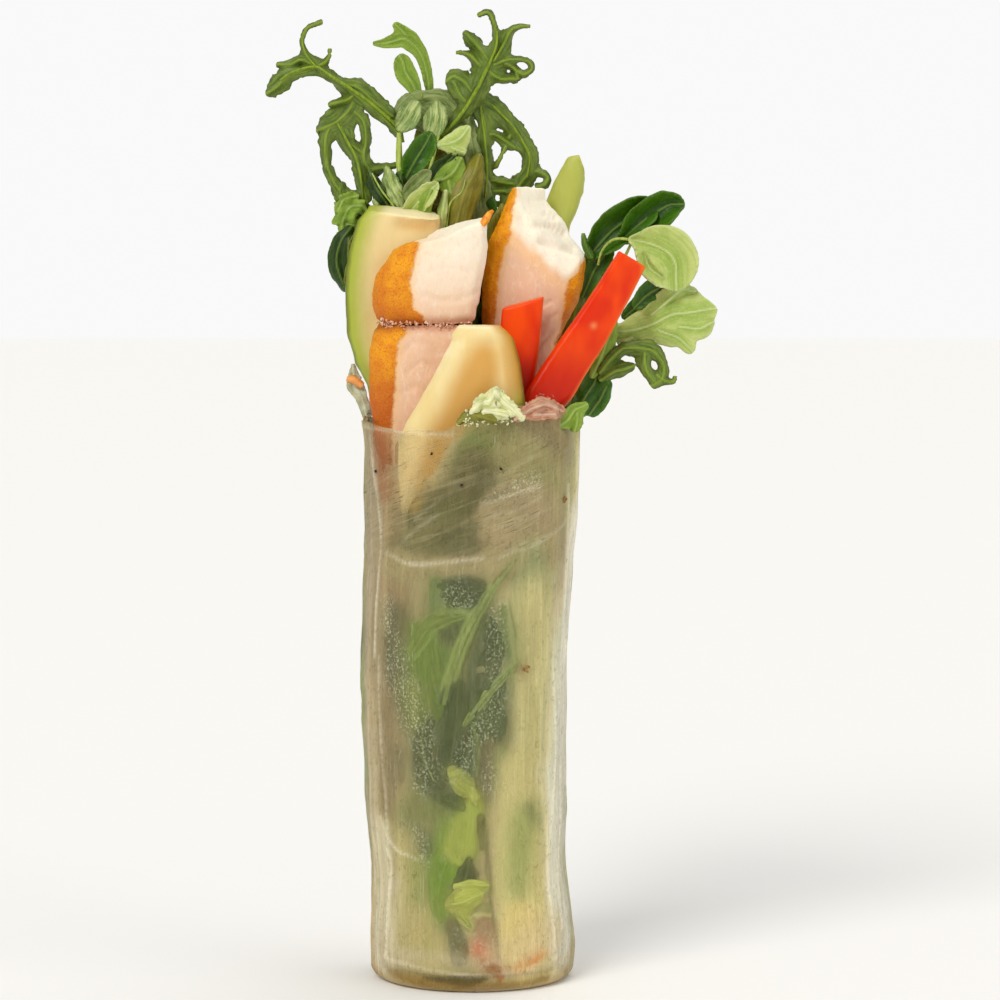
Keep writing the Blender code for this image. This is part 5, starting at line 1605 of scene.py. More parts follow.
feathery = dict(ragged=(1.2, 0.75), ruffle=(2.6, 1.0), cup=0.5, grow=0.2)
greens = {  # finish, slot, nodes replaced, and the leaf: strokes of (x, y, z, half width)
    "mizuna_left_frond": (mizunaGreen, "herb", ("mizuna_left",), dict(
        feathery, seed=3, strokes=[
            [(-16, 15, 180, 0.8), (-21, 14.5, 185, 0.9), (-25, 13.5, 188, 1.1), (-30.5, 12, 192, 0.9),
             (-33.5, 11, 194, 0.8)],
            [(-33.5, 11, 194, 0.8), (-35.5, 10.5, 193, 0.7), (-38, 10, 192.5, 1.3), (-40.5, 9, 191, 1.9),
             (-42, 8.5, 189.5, 1.5), (-43.5, 8.5, 188.5, 0.6)],
            [(-33.5, 11, 194, 0.7), (-36.5, 11.5, 195.5, 0.8), (-39, 11.5, 194.5, 0.7),
             (-41.5, 11, 194.5, 0.4)],
            [(-33.5, 11, 194, 0.9), (-35.5, 11.5, 196.5, 0.6), (-36.5, 12, 199.5, 0.4),
             (-35.5, 12.5, 202, 0.5), (-34, 13, 203, 0.4), (-32.5, 13, 203.5, 0.5)],
            [(-33.5, 11, 194, 0.6), (-31.5, 10.5, 195, 0.3), (-30.5, 10.5, 196.5, 0.3),
             (-30.5, 11, 197.5, 0.3)],
            [(-28, 13, 190, 0.8), (-25.5, 13.5, 190, 1.5), (-23, 14, 188.5, 1.7), (-21, 14.5, 186.5, 1.9),
             (-18.5, 15, 184.5, 1.3)],
            [(-25.5, 13.5, 188, 0.8), (-27, 13, 187, 0.8), (-29, 12.5, 186.5, 0.7), (-30.5, 12, 186, 0.5)],
        ])),
    "mizuna_left_low_frond": (mizunaGreen, "herb", ("mizuna_left_low",), dict(
        feathery, seed=5, strokes=[
            [(-25.5, 14.5, 187.5, 1.5), (-26.5, 14, 185, 2.3), (-29, 13.5, 182.5, 2.7),
             (-31, 13, 181.5, 1.9)],
            [(-30, 13.5, 182.5, 1.7), (-31.5, 13, 179, 1.3), (-31.5, 12.5, 174.5, 0.9),
             (-30.5, 13, 171, 0.9), (-28.5, 13.5, 167.5, 0.9), (-26, 14, 165.5, 1.1),
             (-22.5, 14.5, 163, 0.8)],
            [(-28.5, 13.5, 182, 1.7), (-27, 13.8, 178, 1.3), (-25, 14, 174.5, 1.2), (-24, 14.2, 170, 1.1),
             (-23, 14.5, 166, 1.1)],
            [(-26, 14, 185, 1.3), (-23.5, 14.2, 182.5, 1.1), (-23, 14.5, 178.5, 0.8),
             (-23.5, 14.5, 174.5, 0.8), (-22, 14.8, 172, 1.1)],
            [(-27, 13.8, 178, 1.1), (-25.5, 14, 177, 0.7), (-23.5, 14.5, 175.5, 0.7)],
            [(-22, 14.8, 172, 1.1), (-19.5, 15, 172.5, 0.8), (-17, 15, 173, 0.6)],
            [(-28.6, 13.5, 168, 1.0), (-27.8, 13.5, 165, 1.4), (-26.4, 13.8, 163, 1.8),
             (-24, 14, 161.5, 1.7)],
        ])),
    "frill_left": (softGreen, "herb", (), dict(ragged=(0.9, 1.3), ruffle=(1.3, 1.5), cup=0.3, seed=33,
        strokes=[
            [(-28, 12.6, 158.6, 1.0), (-27.8, 12.2, 161.4, 1.8), (-26.4, 12, 164, 1.9),
             (-24, 12.2, 164.4, 1.2), (-22.8, 12.6, 163.4, 0.7)],
            [(-28.8, 12.4, 163.4, 0.8), (-27.6, 12.2, 165.8, 1.0), (-25.4, 12.4, 166.4, 0.8)],
            [(-27.6, 12, 160.4, 1.2), (-25.4, 11.8, 160.2, 1.4), (-24.4, 12, 158.8, 0.8)]])),
    "tail_left": (nightGreen, "herb", (), dict(ragged=(2.4, 0.4), ruffle=(3, 1.0), cup=0.9, seed=34,
        strokes=[
            [(-26.4, 10.5, 159.4, 0.9), (-28.2, 10, 156.8, 1.7), (-29.2, 9.6, 153, 1.9),
             (-28.6, 9.2, 150, 1.5), (-27.4, 9, 147.2, 0.8)],
            [(-26.6, 9.4, 157, 1.2), (-26.6, 9, 152, 1.4), (-26.6, 8.6, 147.6, 0.9)]])),
    "shoot_middle_tip": (softGreen, "leaf", ("shoot_middle",), dict(
        ragged=(2.0, 0.2), ruffle=(4.0, 0.5), cup=-0.6, seed=7, strokes=[
            [(-10.5, 17, 180.5, 0.8), (-9.5, 17, 186, 0.8), (-9.5, 16.6, 190.5, 0.9), (-10.5, 16, 195, 1.2),
             (-12, 15.2, 198, 1.5), (-14.5, 14.6, 200, 1.7), (-17, 14.2, 199.5, 1.4), (-19, 13.8, 199, 0.9),
             (-21, 13.6, 199, 0.4)],
            [(-13.5, 14.8, 200, 1.1), (-15.5, 15, 202, 0.9), (-16.5, 15.2, 203, 0.6)],
        ])),
    "shoot_leaf_high": (softGreen, "leaf", (), dict(ragged=(2.0, 0.15), cup=-0.9, seed=8, strokes=[
        [(-11.5, 15.5, 187.5, 0.6), (-13, 15, 190.5, 1.7), (-14.5, 14.6, 193, 2.2), (-15, 14.4, 195, 1.7),
         (-15.5, 14.4, 196, 0.8)]])),
    "shoot_leaf_left": (mottled, "leaf", (), dict(ragged=(1.8, 0.4), cup=-0.9, ruffle=(2, 0.9), seed=9,
        strokes=[
            [(-15.4, 12.8, 181.2, 1.3), (-14, 12.4, 183, 2.4), (-13, 12.6, 184.8, 2.1),
             (-12.2, 13, 186, 1.0)]])),
    "shoot_leaf_right": (mottled, "leaf", (), dict(ragged=(1.8, 0.4), cup=-0.9, ruffle=(2, 0.9), seed=10,
        strokes=[
            [(-8.8, 12.4, 179.8, 1.2), (-8.2, 12, 181.4, 2.2), (-7.8, 11.8, 183.4, 2.4),
             (-7.8, 12.2, 185.4, 1.4)]])),
    "mizuna_right_frond": (mizunaGreen, "herb", ("mizuna_right",), dict(
        feathery, seed=11, strokes=[
            [(-6, 14, 180, 0.7), (-2.5, 13.4, 184, 1.1), (0.5, 12.6, 188.5, 1.9), (2.5, 11.6, 193, 2.1),
             (4, 11, 195.5, 1.7)],
            [(4, 11, 195, 1.5), (5, 10.6, 198.5, 1.1), (5, 10.4, 201.5, 0.6), (4, 10.4, 204.5, 0.5),
             (3, 10.6, 205.5, 0.6), (1.5, 10.8, 205, 0.4)],
            [(4.5, 11, 195.5, 1.5), (6.5, 10.2, 198.5, 1.2), (8, 9.8, 201.5, 0.7), (10, 9.6, 202.5, 0.5),
             (12, 9.6, 202.5, 0.3)],
            [(4.5, 11, 194.5, 1.1), (7.5, 10.6, 195.5, 0.8), (10, 10.4, 195.5, 0.5), (12, 10.4, 195, 0.5),
             (12.5, 10.8, 193.5, 0.5), (11, 11, 192.5, 0.5), (9.5, 11, 193, 0.4)],
            [(3.5, 11.2, 193, 1.3), (6, 11, 191.5, 0.8), (8.5, 10.8, 191.5, 0.6)],
            [(6.5, 10.8, 195, 0.6), (9, 10.6, 193.5, 0.3), (9.5, 10.6, 192, 0.3)],
            [(3.5, 11.4, 195, 1.3), (1.5, 11.6, 198, 0.9), (-0.5, 11.8, 200, 1.2), (-1.5, 12, 201, 0.7)],
            [(2.5, 11.8, 193, 1.1), (0, 12, 196, 0.7), (-2, 12.2, 197, 0.4), (-3.5, 12.2, 197, 0.3)],
            [(0, 12.6, 188.5, 1.3), (-2, 12.8, 191, 1.5), (-4, 13, 192, 1.4), (-5, 13.2, 191.5, 0.6)],
            [(-1, 13, 186, 1.1), (-3, 13.2, 188.5, 1.3), (-4, 13.2, 190.5, 1.1)],
        ])),
    "mizuna_right_low_frond": (mizunaGreen, "herb", ("mizuna_right_low",), dict(
        feathery, seed=12, strokes=[
            [(1, 15.5, 187.5, 1.7), (4.5, 16, 185.5, 1.7), (7.5, 16.6, 182.5, 1.7), (10, 17.2, 179, 1.7),
             (12, 17.6, 176, 1.5), (12.5, 18, 172.5, 1.5), (10.5, 18.4, 169.5, 1.5), (8, 18.6, 166, 1.3),
             (6.5, 18.6, 163, 1.1)],
            [(1.5, 15.5, 186, 1.5), (2.5, 16, 182, 1.5), (2.5, 16.4, 178, 1.2), (3, 16.8, 174.5, 0.9),
             (3, 17, 170, 1.3), (2.5, 17.2, 166, 1.7), (2.5, 17.4, 162.5, 1.7)],
            [(2.5, 16.2, 180, 0.8), (5, 16.6, 179.5, 0.8), (8, 17, 177.5, 0.8)],
            [(3.5, 17.2, 170, 0.8), (6, 17.8, 169.5, 0.8), (9, 18.2, 169, 0.8)],
            [(4.5, 17.6, 167.5, 0.5), (6.5, 18, 167.5, 0.4), (8, 18.4, 167, 0.5)],
            [(8, 17, 179.5, 0.4), (6.5, 16.6, 176, 0.2), (5, 16.6, 173, 0.2)],
            [(12.5, 18, 172, 0.8), (14.5, 17.4, 171.5, 0.6), (16, 17, 170.5, 0.6), (15.5, 16.8, 169, 0.7),
             (14, 17, 168.5, 0.5)],
        ])),
    "halo_leaf": (greyGreen, "herb", (), dict(ragged=(2.0, 0.8), ruffle=(2.4, 0.8), cup=0.3, seed=35,
        strokes=[
            [(-16.6, 15.4, 182, 1.6), (-14, 15, 186, 2.0), (-10, 15, 187.6, 1.6), (-6, 15, 187.4, 1.8),
             (-2.6, 15, 184, 2.0)],
            [(-12, 15.2, 184, 3), (-8, 15.2, 182, 3.4), (-4, 15, 180, 3)]])),
    "leaf_dark_upper": (darkGreen, "herb", (), dict(ragged=(2.0, 0.3), cup=-1.2, seed=15, veins=(2.2, 0.8),
        strokes=[
            [(-14.2, 12.8, 170.6, 1.2), (-12.4, 12.2, 174, 2.6), (-10.4, 12, 177.2, 2.5),
             (-9.2, 12.2, 179.4, 0.9)]])),
    "leaf_dark_right": (nightGreen, "herb", (), dict(ragged=(2.0, 0.3), cup=-1.0, seed=16, veins=(2.0, 0.8),
        strokes=[
            [(-9.4, 12, 168.6, 1.0), (-7.4, 11.6, 171.6, 1.9), (-5.2, 11.6, 174, 1.2),
             (-3.6, 12, 175.6, 0.4)]])),
    "leaf_pale_upper": (paleGreen, "leaf", (), dict(ragged=(1.6, 0.5), cup=0.7, seed=13, strokes=[
        [(-6.8, 11.6, 177.4, 0.8), (-4.8, 11, 177.8, 1.7), (-2.8, 10.6, 178.8, 2.0),
         (-1.2, 10.8, 180.8, 0.8)],
        [(-4.4, 10.9, 176.8, 1.3), (-2.4, 10.8, 176, 0.8)]])),
    "leaf_mid": (softGreen, "leaf", (), dict(ragged=(1.6, 0.6), cup=0.8, seed=36, strokes=[
        [(-8.2, 11, 169.8, 0.6), (-6.2, 10.4, 170.2, 1.8), (-4.2, 10, 171.6, 2.2), (-2.8, 10.2, 174, 0.9)],
        [(-5.2, 10.4, 169.4, 1.7), (-4.6, 10.6, 166.8, 0.9)]])),
    "leaf_blue": (greyGreen, "herb", (), dict(ragged=(1.6, 0.4), cup=-0.8, seed=37, veins=(1.6, 0.8),
        strokes=[
            [(-14.4, 11, 166.6, 1.0), (-12.6, 10.6, 168.4, 1.9), (-10.6, 10.6, 170.4, 1.6),
             (-9.4, 10.8, 171.6, 0.5)]])),
    "leaf_pale_low": (paleGreen, "leaf", (), dict(ragged=(1.8, 0.4), cup=-1.3, seed=17, strokes=[
        [(-14.4, 9.6, 161.6, 1.2), (-12.4, 8.8, 164.4, 2.1), (-10, 8.2, 166.8, 2.1),
         (-8, 8.4, 168.8, 0.9)]])),
    "leaf_low_centre": (softGreen, "leaf", (), dict(ragged=(1.4, 0.3), cup=0.8, seed=38, strokes=[
        [(-11, 8, 161.4, 1.3), (-10.2, 7.5, 164.4, 1.6), (-9.2, 7.6, 167.2, 0.9)]])),
    "leaf_spear": (paleGreen, "leaf", (), dict(ragged=(1.8, 0.2), cup=0.6, seed=39, strokes=[
        [(-7.0, 8.6, 158.4, 0.6), (-6.5, 8.6, 163, 1.0), (-5.8, 9, 167.4, 0.5)]])),
    "stalk_olive": (oliveGreen, "herb", (), dict(ragged=(2.5, 0.4), cup=1.4, ruffle=(4, 1.0), seed=14,
        strokes=[
            [(-4.4, 9.5, 157, 1.6), (-3, 9.6, 163, 3.0), (-1.4, 9.8, 168, 3.2), (0.2, 10.2, 171.4, 2.2),
             (1.2, 10.6, 174.6, 0.9)]])),
    "leaf_night": (nightGreen, "herb", (), dict(ragged=(1.2, 0.8), ruffle=(1.8, 1.4), seed=48, strokes=[
        [(-22, 12.4, 171.6, 0.6), (-20.8, 11.8, 168.4, 1.6), (-18.8, 11.4, 165.4, 1.9),
         (-17, 11.4, 162.4, 1.6)],
        [(-15.6, 12, 171, 0.8), (-14.6, 11.8, 167, 1.4), (-14.6, 11.6, 163, 1.6)]])),
    "leaf_mottled": (mottled, "leaf", (), dict(ragged=(1.4, 0.6), ruffle=(1.6, 1.1), cup=0.6, seed=18,
        strokes=[
            [(-18.4, 11.6, 172.2, 0.7), (-17.6, 10.8, 169.4, 1.7), (-16.2, 10.4, 166.6, 1.7),
             (-15.2, 10.4, 164.2, 0.9)],
            [(-21, 11.4, 165.4, 0.5), (-19.6, 11, 163.6, 0.9), (-17.6, 10.8, 162.6, 0.9)]])),
    "lettuce_dark_leaf": (darkGreen, "herb", ("lettuce_dark",), dict(
        ragged=(3.0, 0.4), cup=-2.6, ruffle=(4, 1.2), seed=19, strokes=[
            [(24.6, 5, 153.6, 0.8), (27.0, 4.8, 156.4, 2.6), (29.6, 4.4, 159.2, 3.7), (32.6, 4, 161.4, 4.0),
             (36, 4, 163.4, 3.4)]])),
    "lettuce_dark_cup": (darkGreen, "herb", (), dict(
        ragged=(3.0, 0.4), cup=-2.6, ruffle=(4, 1.0), seed=29, strokes=[
            [(32.4, 3.4, 158.0, 1.6), (35.4, 3.0, 160.6, 3.2), (38.4, 2.8, 162.8, 3.8),
             (41.4, 3.0, 164.6, 3.0), (43.4, 3.2, 164.8, 1.5)]])),
    "lettuce_round_leaf": (paleGreen, "leaf", ("lettuce_round",), dict(
        ragged=(4.0, 0.25), cup=-1.5, ruffle=(5, 0.7), seed=20, strokes=[
            [(33.6, 1.4, 157.4, 0.7), (36.6, 0.8, 156.8, 2.6), (39, 0.2, 156, 4.4),
             (41.4, -0.5, 154.6, 5.4), (42.8, -0.2, 152.6, 5.0), (43, 0.2, 150, 3.4)],
            [(36.4, 1, 154.6, 1.6), (37.4, 0.6, 151.6, 2.0), (39.6, 0.4, 149.8, 2.0)]])),
    "lettuce_fan_leaf": (paleGreen, "leaf", ("lettuce_fan",), dict(
        ragged=(3.0, 1.2), cup=0.9, ruffle=(3.0, 1.6), seed=21, blend=0.5, strokes=[
            [(30.2, 3.4, 138.0, 1.2), (34, 2.6, 138.2, 2.4), (38, 2, 139.4, 3.6), (42, 1.7, 141.4, 4.4),
             (46, 1.8, 142.0, 4.4), (48.6, 2.2, 142.4, 2.6)],
            [(38, 2, 141.4, 2.4), (41.4, 2.0, 144.4, 2.4), (44.4, 2.2, 146.8, 1.6),
             (46.6, 2.4, 146.6, 0.8)],
            [(40, 1.8, 138, 2.8), (43.6, 2.0, 136.6, 2.6), (46, 2.4, 134.4, 1.0)],
            [(34, 2.4, 136.6, 1.2), (31.8, 2.5, 135.6, 0.8)],
            [(44, 1.8, 139, 2.4), (48, 2.2, 138.6, 2.2), (50.2, 2.4, 139.6, 0.9)]])),
    "lettuce_under": (darkGreen, "leaf", (), dict(ragged=(2.0, 0.3), cup=-0.8, seed=22, veins=(2, 0.7),
        strokes=[
            [(35, 4.4, 143.5, 1.1), (37, 4, 145.5, 2.3), (39.5, 3.8, 147, 2.7), (42, 4, 147.5, 1.7)]])),
    "lettuce_behind": (darkGreen, "herb", (), dict(ragged=(2.0, 0.3), cup=-0.8, seed=23, strokes=[
        [(32.5, 6.4, 141, 0.8), (35, 6, 143, 1.9), (38, 6, 145, 2.3), (41, 6.2, 145.5, 1.7)],
        [(24, 6.4, 146.5, 1.7), (26, 6, 151, 2.3), (28, 6, 154, 1.9), (29, 6, 156, 0.8)]])),
    "sprig_curl": (mizunaGreen, "herb", ("sprig_right",),
                   dict(ragged=(1.4, 0.4), ruffle=(2.5, 0.8), cup=0.5, seed=24, strokes=[
                       [(27.5, -0.5, 130, 0.8), (29.5, -0.6, 132.5, 1.1), (32, -0.8, 134.5, 1.3),
                        (35.5, -1, 134.5, 1.7), (38, -1.2, 134, 1.7), (40, -1.4, 132, 1.1),
                        (40.5, -1.4, 130, 0.9), (40, -1.2, 128, 0.8), (38.5, -1, 127, 0.6)],
                       [(36.5, -1, 134, 1.3), (36.5, -1.4, 131.5, 1.1), (37, -1.8, 129.5, 1.1),
                        (38.5, -2, 127.5, 0.7)],
                       [(39.5, -1.2, 128.5, 0.8), (41, -1, 127.5, 0.5), (42.5, -0.6, 127.5, 0.4),
                        (43, -0.4, 128.5, 0.3)],
                       [(27.5, 0, 128, 0.8), (30, -0.4, 129.5, 1.3), (32, -0.6, 130, 1.3),
                        (33.5, -0.6, 130.5, 0.6)]])),
    "greens_rim": (darkGreen, "herb", (), dict(ragged=(1.6, 0.6), ruffle=(2.2, 1.0), cup=0.6, seed=25,
        strokes=[
            [(27, 3, 134, 1.7), (26.5, 2, 130.5, 2.5), (26, 0.6, 127.5, 2.9), (24, -0.6, 124.5, 2.7),
             (22.5, -1.6, 122, 1.9)],
            [(28, 0, 125.5, 1.3), (27, -0.4, 123.5, 1.9), (25.5, -0.8, 121.5, 1.7)]])),
    "gap_leaf": (mizunaGreen, "herb", (), dict(ragged=(1.8, 0.6), ruffle=(2.6, 1.2), cup=0.8, seed=81,
        strokes=[
            [(19, 7, 124, 3), (20.5, 7.4, 134, 3.4), (22, 7.4, 143, 3.4), (23.6, 7.4, 149, 2.4),
             (25, 7.4, 153, 0.9)]])),
    "back_middle": (oliveGreen, "herb", (), dict(ragged=(2.4, 0.6), ruffle=(3, 1.2), seed=82, strokes=[
        [(-8, 16.4, 158, 5), (-8.6, 16.6, 168, 5), (-9, 16.4, 176, 4), (-9.6, 16, 181, 2.4)]])),
    "back_right": (greyGreen, "herb", (), dict(ragged=(2.4, 0.7), ruffle=(3, 1.2), seed=83, strokes=[
        [(0, 16, 158, 4.6), (0, 16.4, 166, 4.0), (-1.4, 16.2, 174, 3.4), (-2.0, 16, 181, 2.6),
         (-1, 15.6, 186, 1.2)]])),
    "leaf_spotted": (softGreen, "leaf", (), dict(ragged=(1.6, 0.5), ruffle=(2, 0.8), cup=0.6, seed=49,
        strokes=[
            [(25.4, 0.4, 128.6, 0.7), (27.2, 0, 132.6, 1.7), (28.6, 0, 136.6, 2.0),
             (29.6, 0.4, 141, 1.0)]])),
    "green_knot": (softGreen, "leaf", (), dict(ragged=(1.2, 0.5), ruffle=(1.8, 0.9), cup=0.6, seed=26,
        strokes=[
            [(23.5, -9.4, 123, 0.8), (21.5, -10.2, 122, 1.3), (20, -11.6, 120, 1.5), (18.5, -13, 119, 0.8)],
            [(22, -10, 122, 0.8), (22, -10.4, 119.5, 1.1), (21.5, -10.6, 118, 0.6)]])),
    "sepal": (darkGreen, "herb", (), dict(ragged=(2.0, 0.1), seed=27, strokes=[
        [(25, 3, 154, 0.8), (24, 2.6, 156, 0.7), (23.5, 2.4, 158, 0.4), (23.5, 2.4, 159, 0.2)]])),
}
pressedDark = leafLook("pressed_dark", (84, 100, 56), (52, 68, 34), (128, 146, 84), (96, 110, 62), 0.6, 0.4,
                       0.8)
pressedMid = leafLook("pressed_mid", (128, 148, 70), (88, 108, 44), (158, 174, 98), (134, 150, 80), 0.6,
                      0.4, 0.8)
pressedSoft = leafLook("pressed_soft", (136, 164, 62), (108, 140, 44), (160, 182, 96), (140, 166, 70), 0.6,
                       0.4, 0.6)
pressedPale = leafLook("pressed_pale", (184, 188, 92), (142, 152, 60), (202, 206, 128), (190, 194, 116),
                       0.6, 0.4, 0.6)
flatLeaf = dict(cell=0.36, thick=0.2, ragged=(2.4, 0.6), ruffle=(2.6, 0.5), cup=0.3, rib=(0.22, 0.1))
pressedLeaves = {  # leaves flat under the paper: finish, radius, strokes of (x, z, half width)
    "under_dark_top": (pressedDark, 20.5, [[(-6.4, 85.6, 1.4), (-4, 85, 2.6), (-1.4, 84.8, 2.9),
        (1.6, 85, 2.0)], [(-3.6, 82.4, 1.6), (0, 82.2, 1.8)]]),
    "under_mid": (pressedMid, 20.4, [[(-13.5, 77, 1.2), (-11, 73, 3.2), (-10.5, 67, 4.0), (-9.5, 61, 3.4),
        (-10, 56, 1.0)]]),
    "under_arc": (pressedMid, 20.7, [[(-13.4, 71, 1.0), (-9.4, 77.2, 1.7), (-5, 79.4, 1.5),
        (-1.2, 80, 0.4)]]),
    "under_dark_right": (pressedDark, 20.4, [[(3.6, 79.5, 0.6), (5, 74, 2.4), (4.4, 68, 3.4), (3, 62, 3.4),
        (1, 57, 2.4)]]),
    "under_dark_centre": (pressedDark, 20.3, [[(-3, 65, 1.6), (-3.5, 57, 3.2), (-4.5, 50, 3.0),
        (-5, 46, 1.2)]]),
    "under_dark_left": (pressedDark, 20.5, [[(-9, 57.6, 0.8), (-11, 52, 2.2), (-10, 47, 2.4),
        (-7.5, 44.4, 1.6)]]),
    "under_dark_low": (pressedDark, 20.6, [[(3.4, 61.8, 1.2), (5.4, 58, 2.6), (5.6, 54.5, 1.4)]]),
    "under_green": (pressedSoft, 20.1, [[(-0.6, 37, 1.2), (-3.6, 32, 2.4), (-6.6, 26, 3.2), (-7.8, 20, 2.6),
        (-7.4, 15.5, 0.8)]]),
    "under_dark_bit": (pressedDark, 20.6, [[(-6.4, 41, 0.8), (-4, 40.6, 1.4), (-2.2, 39.4, 0.8)]]),
    "under_crumple": (pressedPale, 20.9, [[(-4.2, 46.2, 0.7), (-2.4, 46.4, 1.2), (-0.6, 45.0, 1.1)],
        [(-3.8, 44.4, 0.9), (-2.0, 43.2, 1.3), (-0.2, 42.6, 1.0)],
                                          [(0.2, 42.6, 0.5), (0.8, 40.4, 0.5)]]),
    "under_bit": (pressedPale, 20.8, [[(-3.6, 22.8, 0.5), (0, 23.2, 0.9), (3.0, 23.0, 0.8)],
        [(-5.2, 18.8, 0.9), (-2.6, 19.4, 2.3), (0.5, 20.6, 1.9)],
                                      [(-2.4, 17, 1.6), (-0.8, 14.6, 0.6)]]),
    "under_dark_tip": (pressedDark, 20.4, [[(-0.6, 28.4, 0.3), (-1.0, 26, 1.5), (-1.8, 23.6, 2.5)]]),
}
for number, (name, (look, radius, strokes)) in enumerate(pressedLeaves.items()):
    leaf = dict(flatLeaf, wrap=radius, seed=60 + number)
    leaf["strokes"] = [roundStroke(stroke) for stroke in strokes]
    leafSheet(name, look, "herb", leaf)
print("pressed leaves:", len(pressedLeaves))

picks = np.random.default_rng(11)
fills = dict(
    count=24,  # in the screen behind the fillings
    side=9,  # along the left side
    foot=117,
    looks=[oliveGreen, greyGreen, softGreen, mizunaGreen, darkGreen, nightGreen],
)
for number in range(fills["count"] + fills["side"]):  # leaves that fill the bundle behind the fillings
    share = (number % fills["count"]) / (fills["count"] - 1)
    x, y = -20 + 33 * share, 14 + 5.5 * (number % 3) / 2 + picks.uniform(-0.4, 0.4)
    y = min(y, 19.5 * math.sqrt(max(0.2, 1 - (x / 21.5) ** 2)))
    top = 183 - 1.3 * abs(x + 8) + picks.uniform(-20, 3)
    wide = picks.uniform(2.2, 3.3)
    lean = picks.uniform(-4.5, 4.5)
    leaf = dict(cell=0.45, ragged=(3.0, 0.6), ruffle=(3.6, 1.5), cup=picks.uniform(-1.4, 1.4),
                seed=100 + number)
    if number >= fills["count"]:
        turn = number - fills["count"]
        x, y, top = -18 + 4.2 * turn, 4 + 1.4 * turn, 150 + picks.uniform(0, 9)
        leaf.update(pivot=(x, y, 120), turn=(picks.uniform(60, 120), 0))
    leaf["strokes"] = [[(x, y, fills["foot"], 1.2), (x + lean * 0.2, y + 0.4, 132, 1.3),
                        (x + lean * 0.5, y + 0.7, top - 22, wide * 0.9),
                        (x + lean * 0.8, y + 0.9, top - 12, wide * 1.3),
                        (x + lean, y + 0.5, top - 4, wide * 0.8),
                        (x + lean * 1.1, y, top, 0.4)]]
    look = fills["looks"][number % len(fills["looks"])]
    leafSheet(f"fill_{number}", look, "herb", leaf)
for name, (look, slot, replaced, leaf) in greens.items():
    leafSheet(name, look, slot, leaf, replaced)
print("greens:", len(greens), "leaves")

tube = stemGraph()
grains = scatterGraph()

frillGreen = leafLook("frill_green", (236, 236, 186), (190, 198, 124), (246, 244, 208), (240, 240, 200),
                      0.5)
flapPaper = leafLook("paper_flap", (200, 200, 154), (150, 150, 98), (226, 222, 190), (188, 184, 140), 0.3)
flapPaper.shader.inputs["Alpha"].default_value = 0.7
pinkPaper = leafLook("pink_paper", (222, 178, 146), (182, 116, 88), (244, 220, 196), (206, 160, 128), 0.4)
pinkPaper.shader.inputs["Alpha"].default_value = 0.8
orange = leafLook("orange_bit", (244, 170, 84), (220, 126, 44), (252, 200, 130), (244, 170, 90), 0.4)
rimSheets = {
    "rim_frill": (frillGreen, "leaf", dict(ragged=(0.8, 0.9), ruffle=(1.0, 1.2), cup=0.5, cell=0.26,
        seed=70, strokes=[
            [(0.2, -21.6, 122.4, 0.7), (2.0, -22, 124.2, 1.4), (3.6, -22.2, 124.6, 1.3),
             (4.6, -22, 126.4, 0.6)],
            [(5.0, -21.8, 126.2, 0.8), (6.2, -21.6, 124.8, 1.1), (8.0, -21.2, 123.2, 1.3),
             (10.2, -20.4, 121.2, 0.8)],
            [(3.4, -21.8, 122.4, 1.0), (6.0, -21.6, 121.8, 1.2)]])),
    "rim_olive": (oliveGreen, "herb", dict(ragged=(0.9, 0.7), ruffle=(1.2, 0.8), cell=0.26, seed=71,
        strokes=[
            [(-2.6, -21.4, 120.2, 0.5), (-0.6, -21.6, 121.6, 1.0), (1.6, -21.8, 121.4, 1.1),
             (4.0, -21.8, 120.8, 1.0)]])),
    "rim_flap": (flapPaper, "rice_paper", dict(ragged=(1.6, 0.6), ruffle=(1.5, 1.0), cup=0.4, cell=0.26,
        seed=72, thick=0.3, strokes=[
            [(-22.2, -1.6, 117.4, 0.8), (-22.6, -1.2, 121, 1.0), (-23.6, -0.6, 124.2, 1.3),
             (-25.0, 0, 126.6, 1.6), (-25.2, 0.4, 129.2, 0.9), (-25.4, 0.6, 130.8, 0.3)]])),
    "rim_fold": (pinkPaper, "rice_paper", dict(ragged=(0.9, 0.8), ruffle=(1.1, 1.3), cup=0.4, cell=0.26,
        seed=74, thick=0.3, strokes=[
            [(9.4, -21.0, 121.0, 0.9), (12.2, -20.2, 122.8, 1.4), (15.2, -18.4, 123.6, 1.5),
             (18.2, -15.4, 122.4, 1.0)],
            [(13.6, -19.8, 121.6, 1.0), (16.6, -17.4, 121.6, 1.0)]])),
    "rim_orange": (orange, "pepper", dict(ragged=(1.0, 0.3), ruffle=(1.0, 0.4), cell=0.24, seed=73,
        thick=0.6, strokes=[
            [(-26.2, -0.8, 127.9, 0.5), (-25.0, -1.2, 127.7, 0.7), (-23.6, -1.4, 126.7, 0.5)]])),
}
for name, (look, slot, leaf) in rimSheets.items():
    leafSheet(name, look, slot, leaf)


# Places round strokes of (x, z, spread) on the roll's face; a radius of 0 is just on the paper.
def strewn(strokes, count, radius, picks):
    spots = []
    for number in range(count):
        path = smoothPath(roundStroke(strokes[number % len(strokes)]), 0.3)
        turn, _, z, spread = path[picks.integers(len(path))]
        turn += picks.normal(0, spread / 2)
        z += picks.normal(0, spread / 2)
        angle = angleAt(turn)
        away = radius + picks.uniform(-0.3, 0.3) if radius else wallRadius(angle, z) + 0.3
        spots.append(onWall(angle, z, away))
    return np.array(spots)


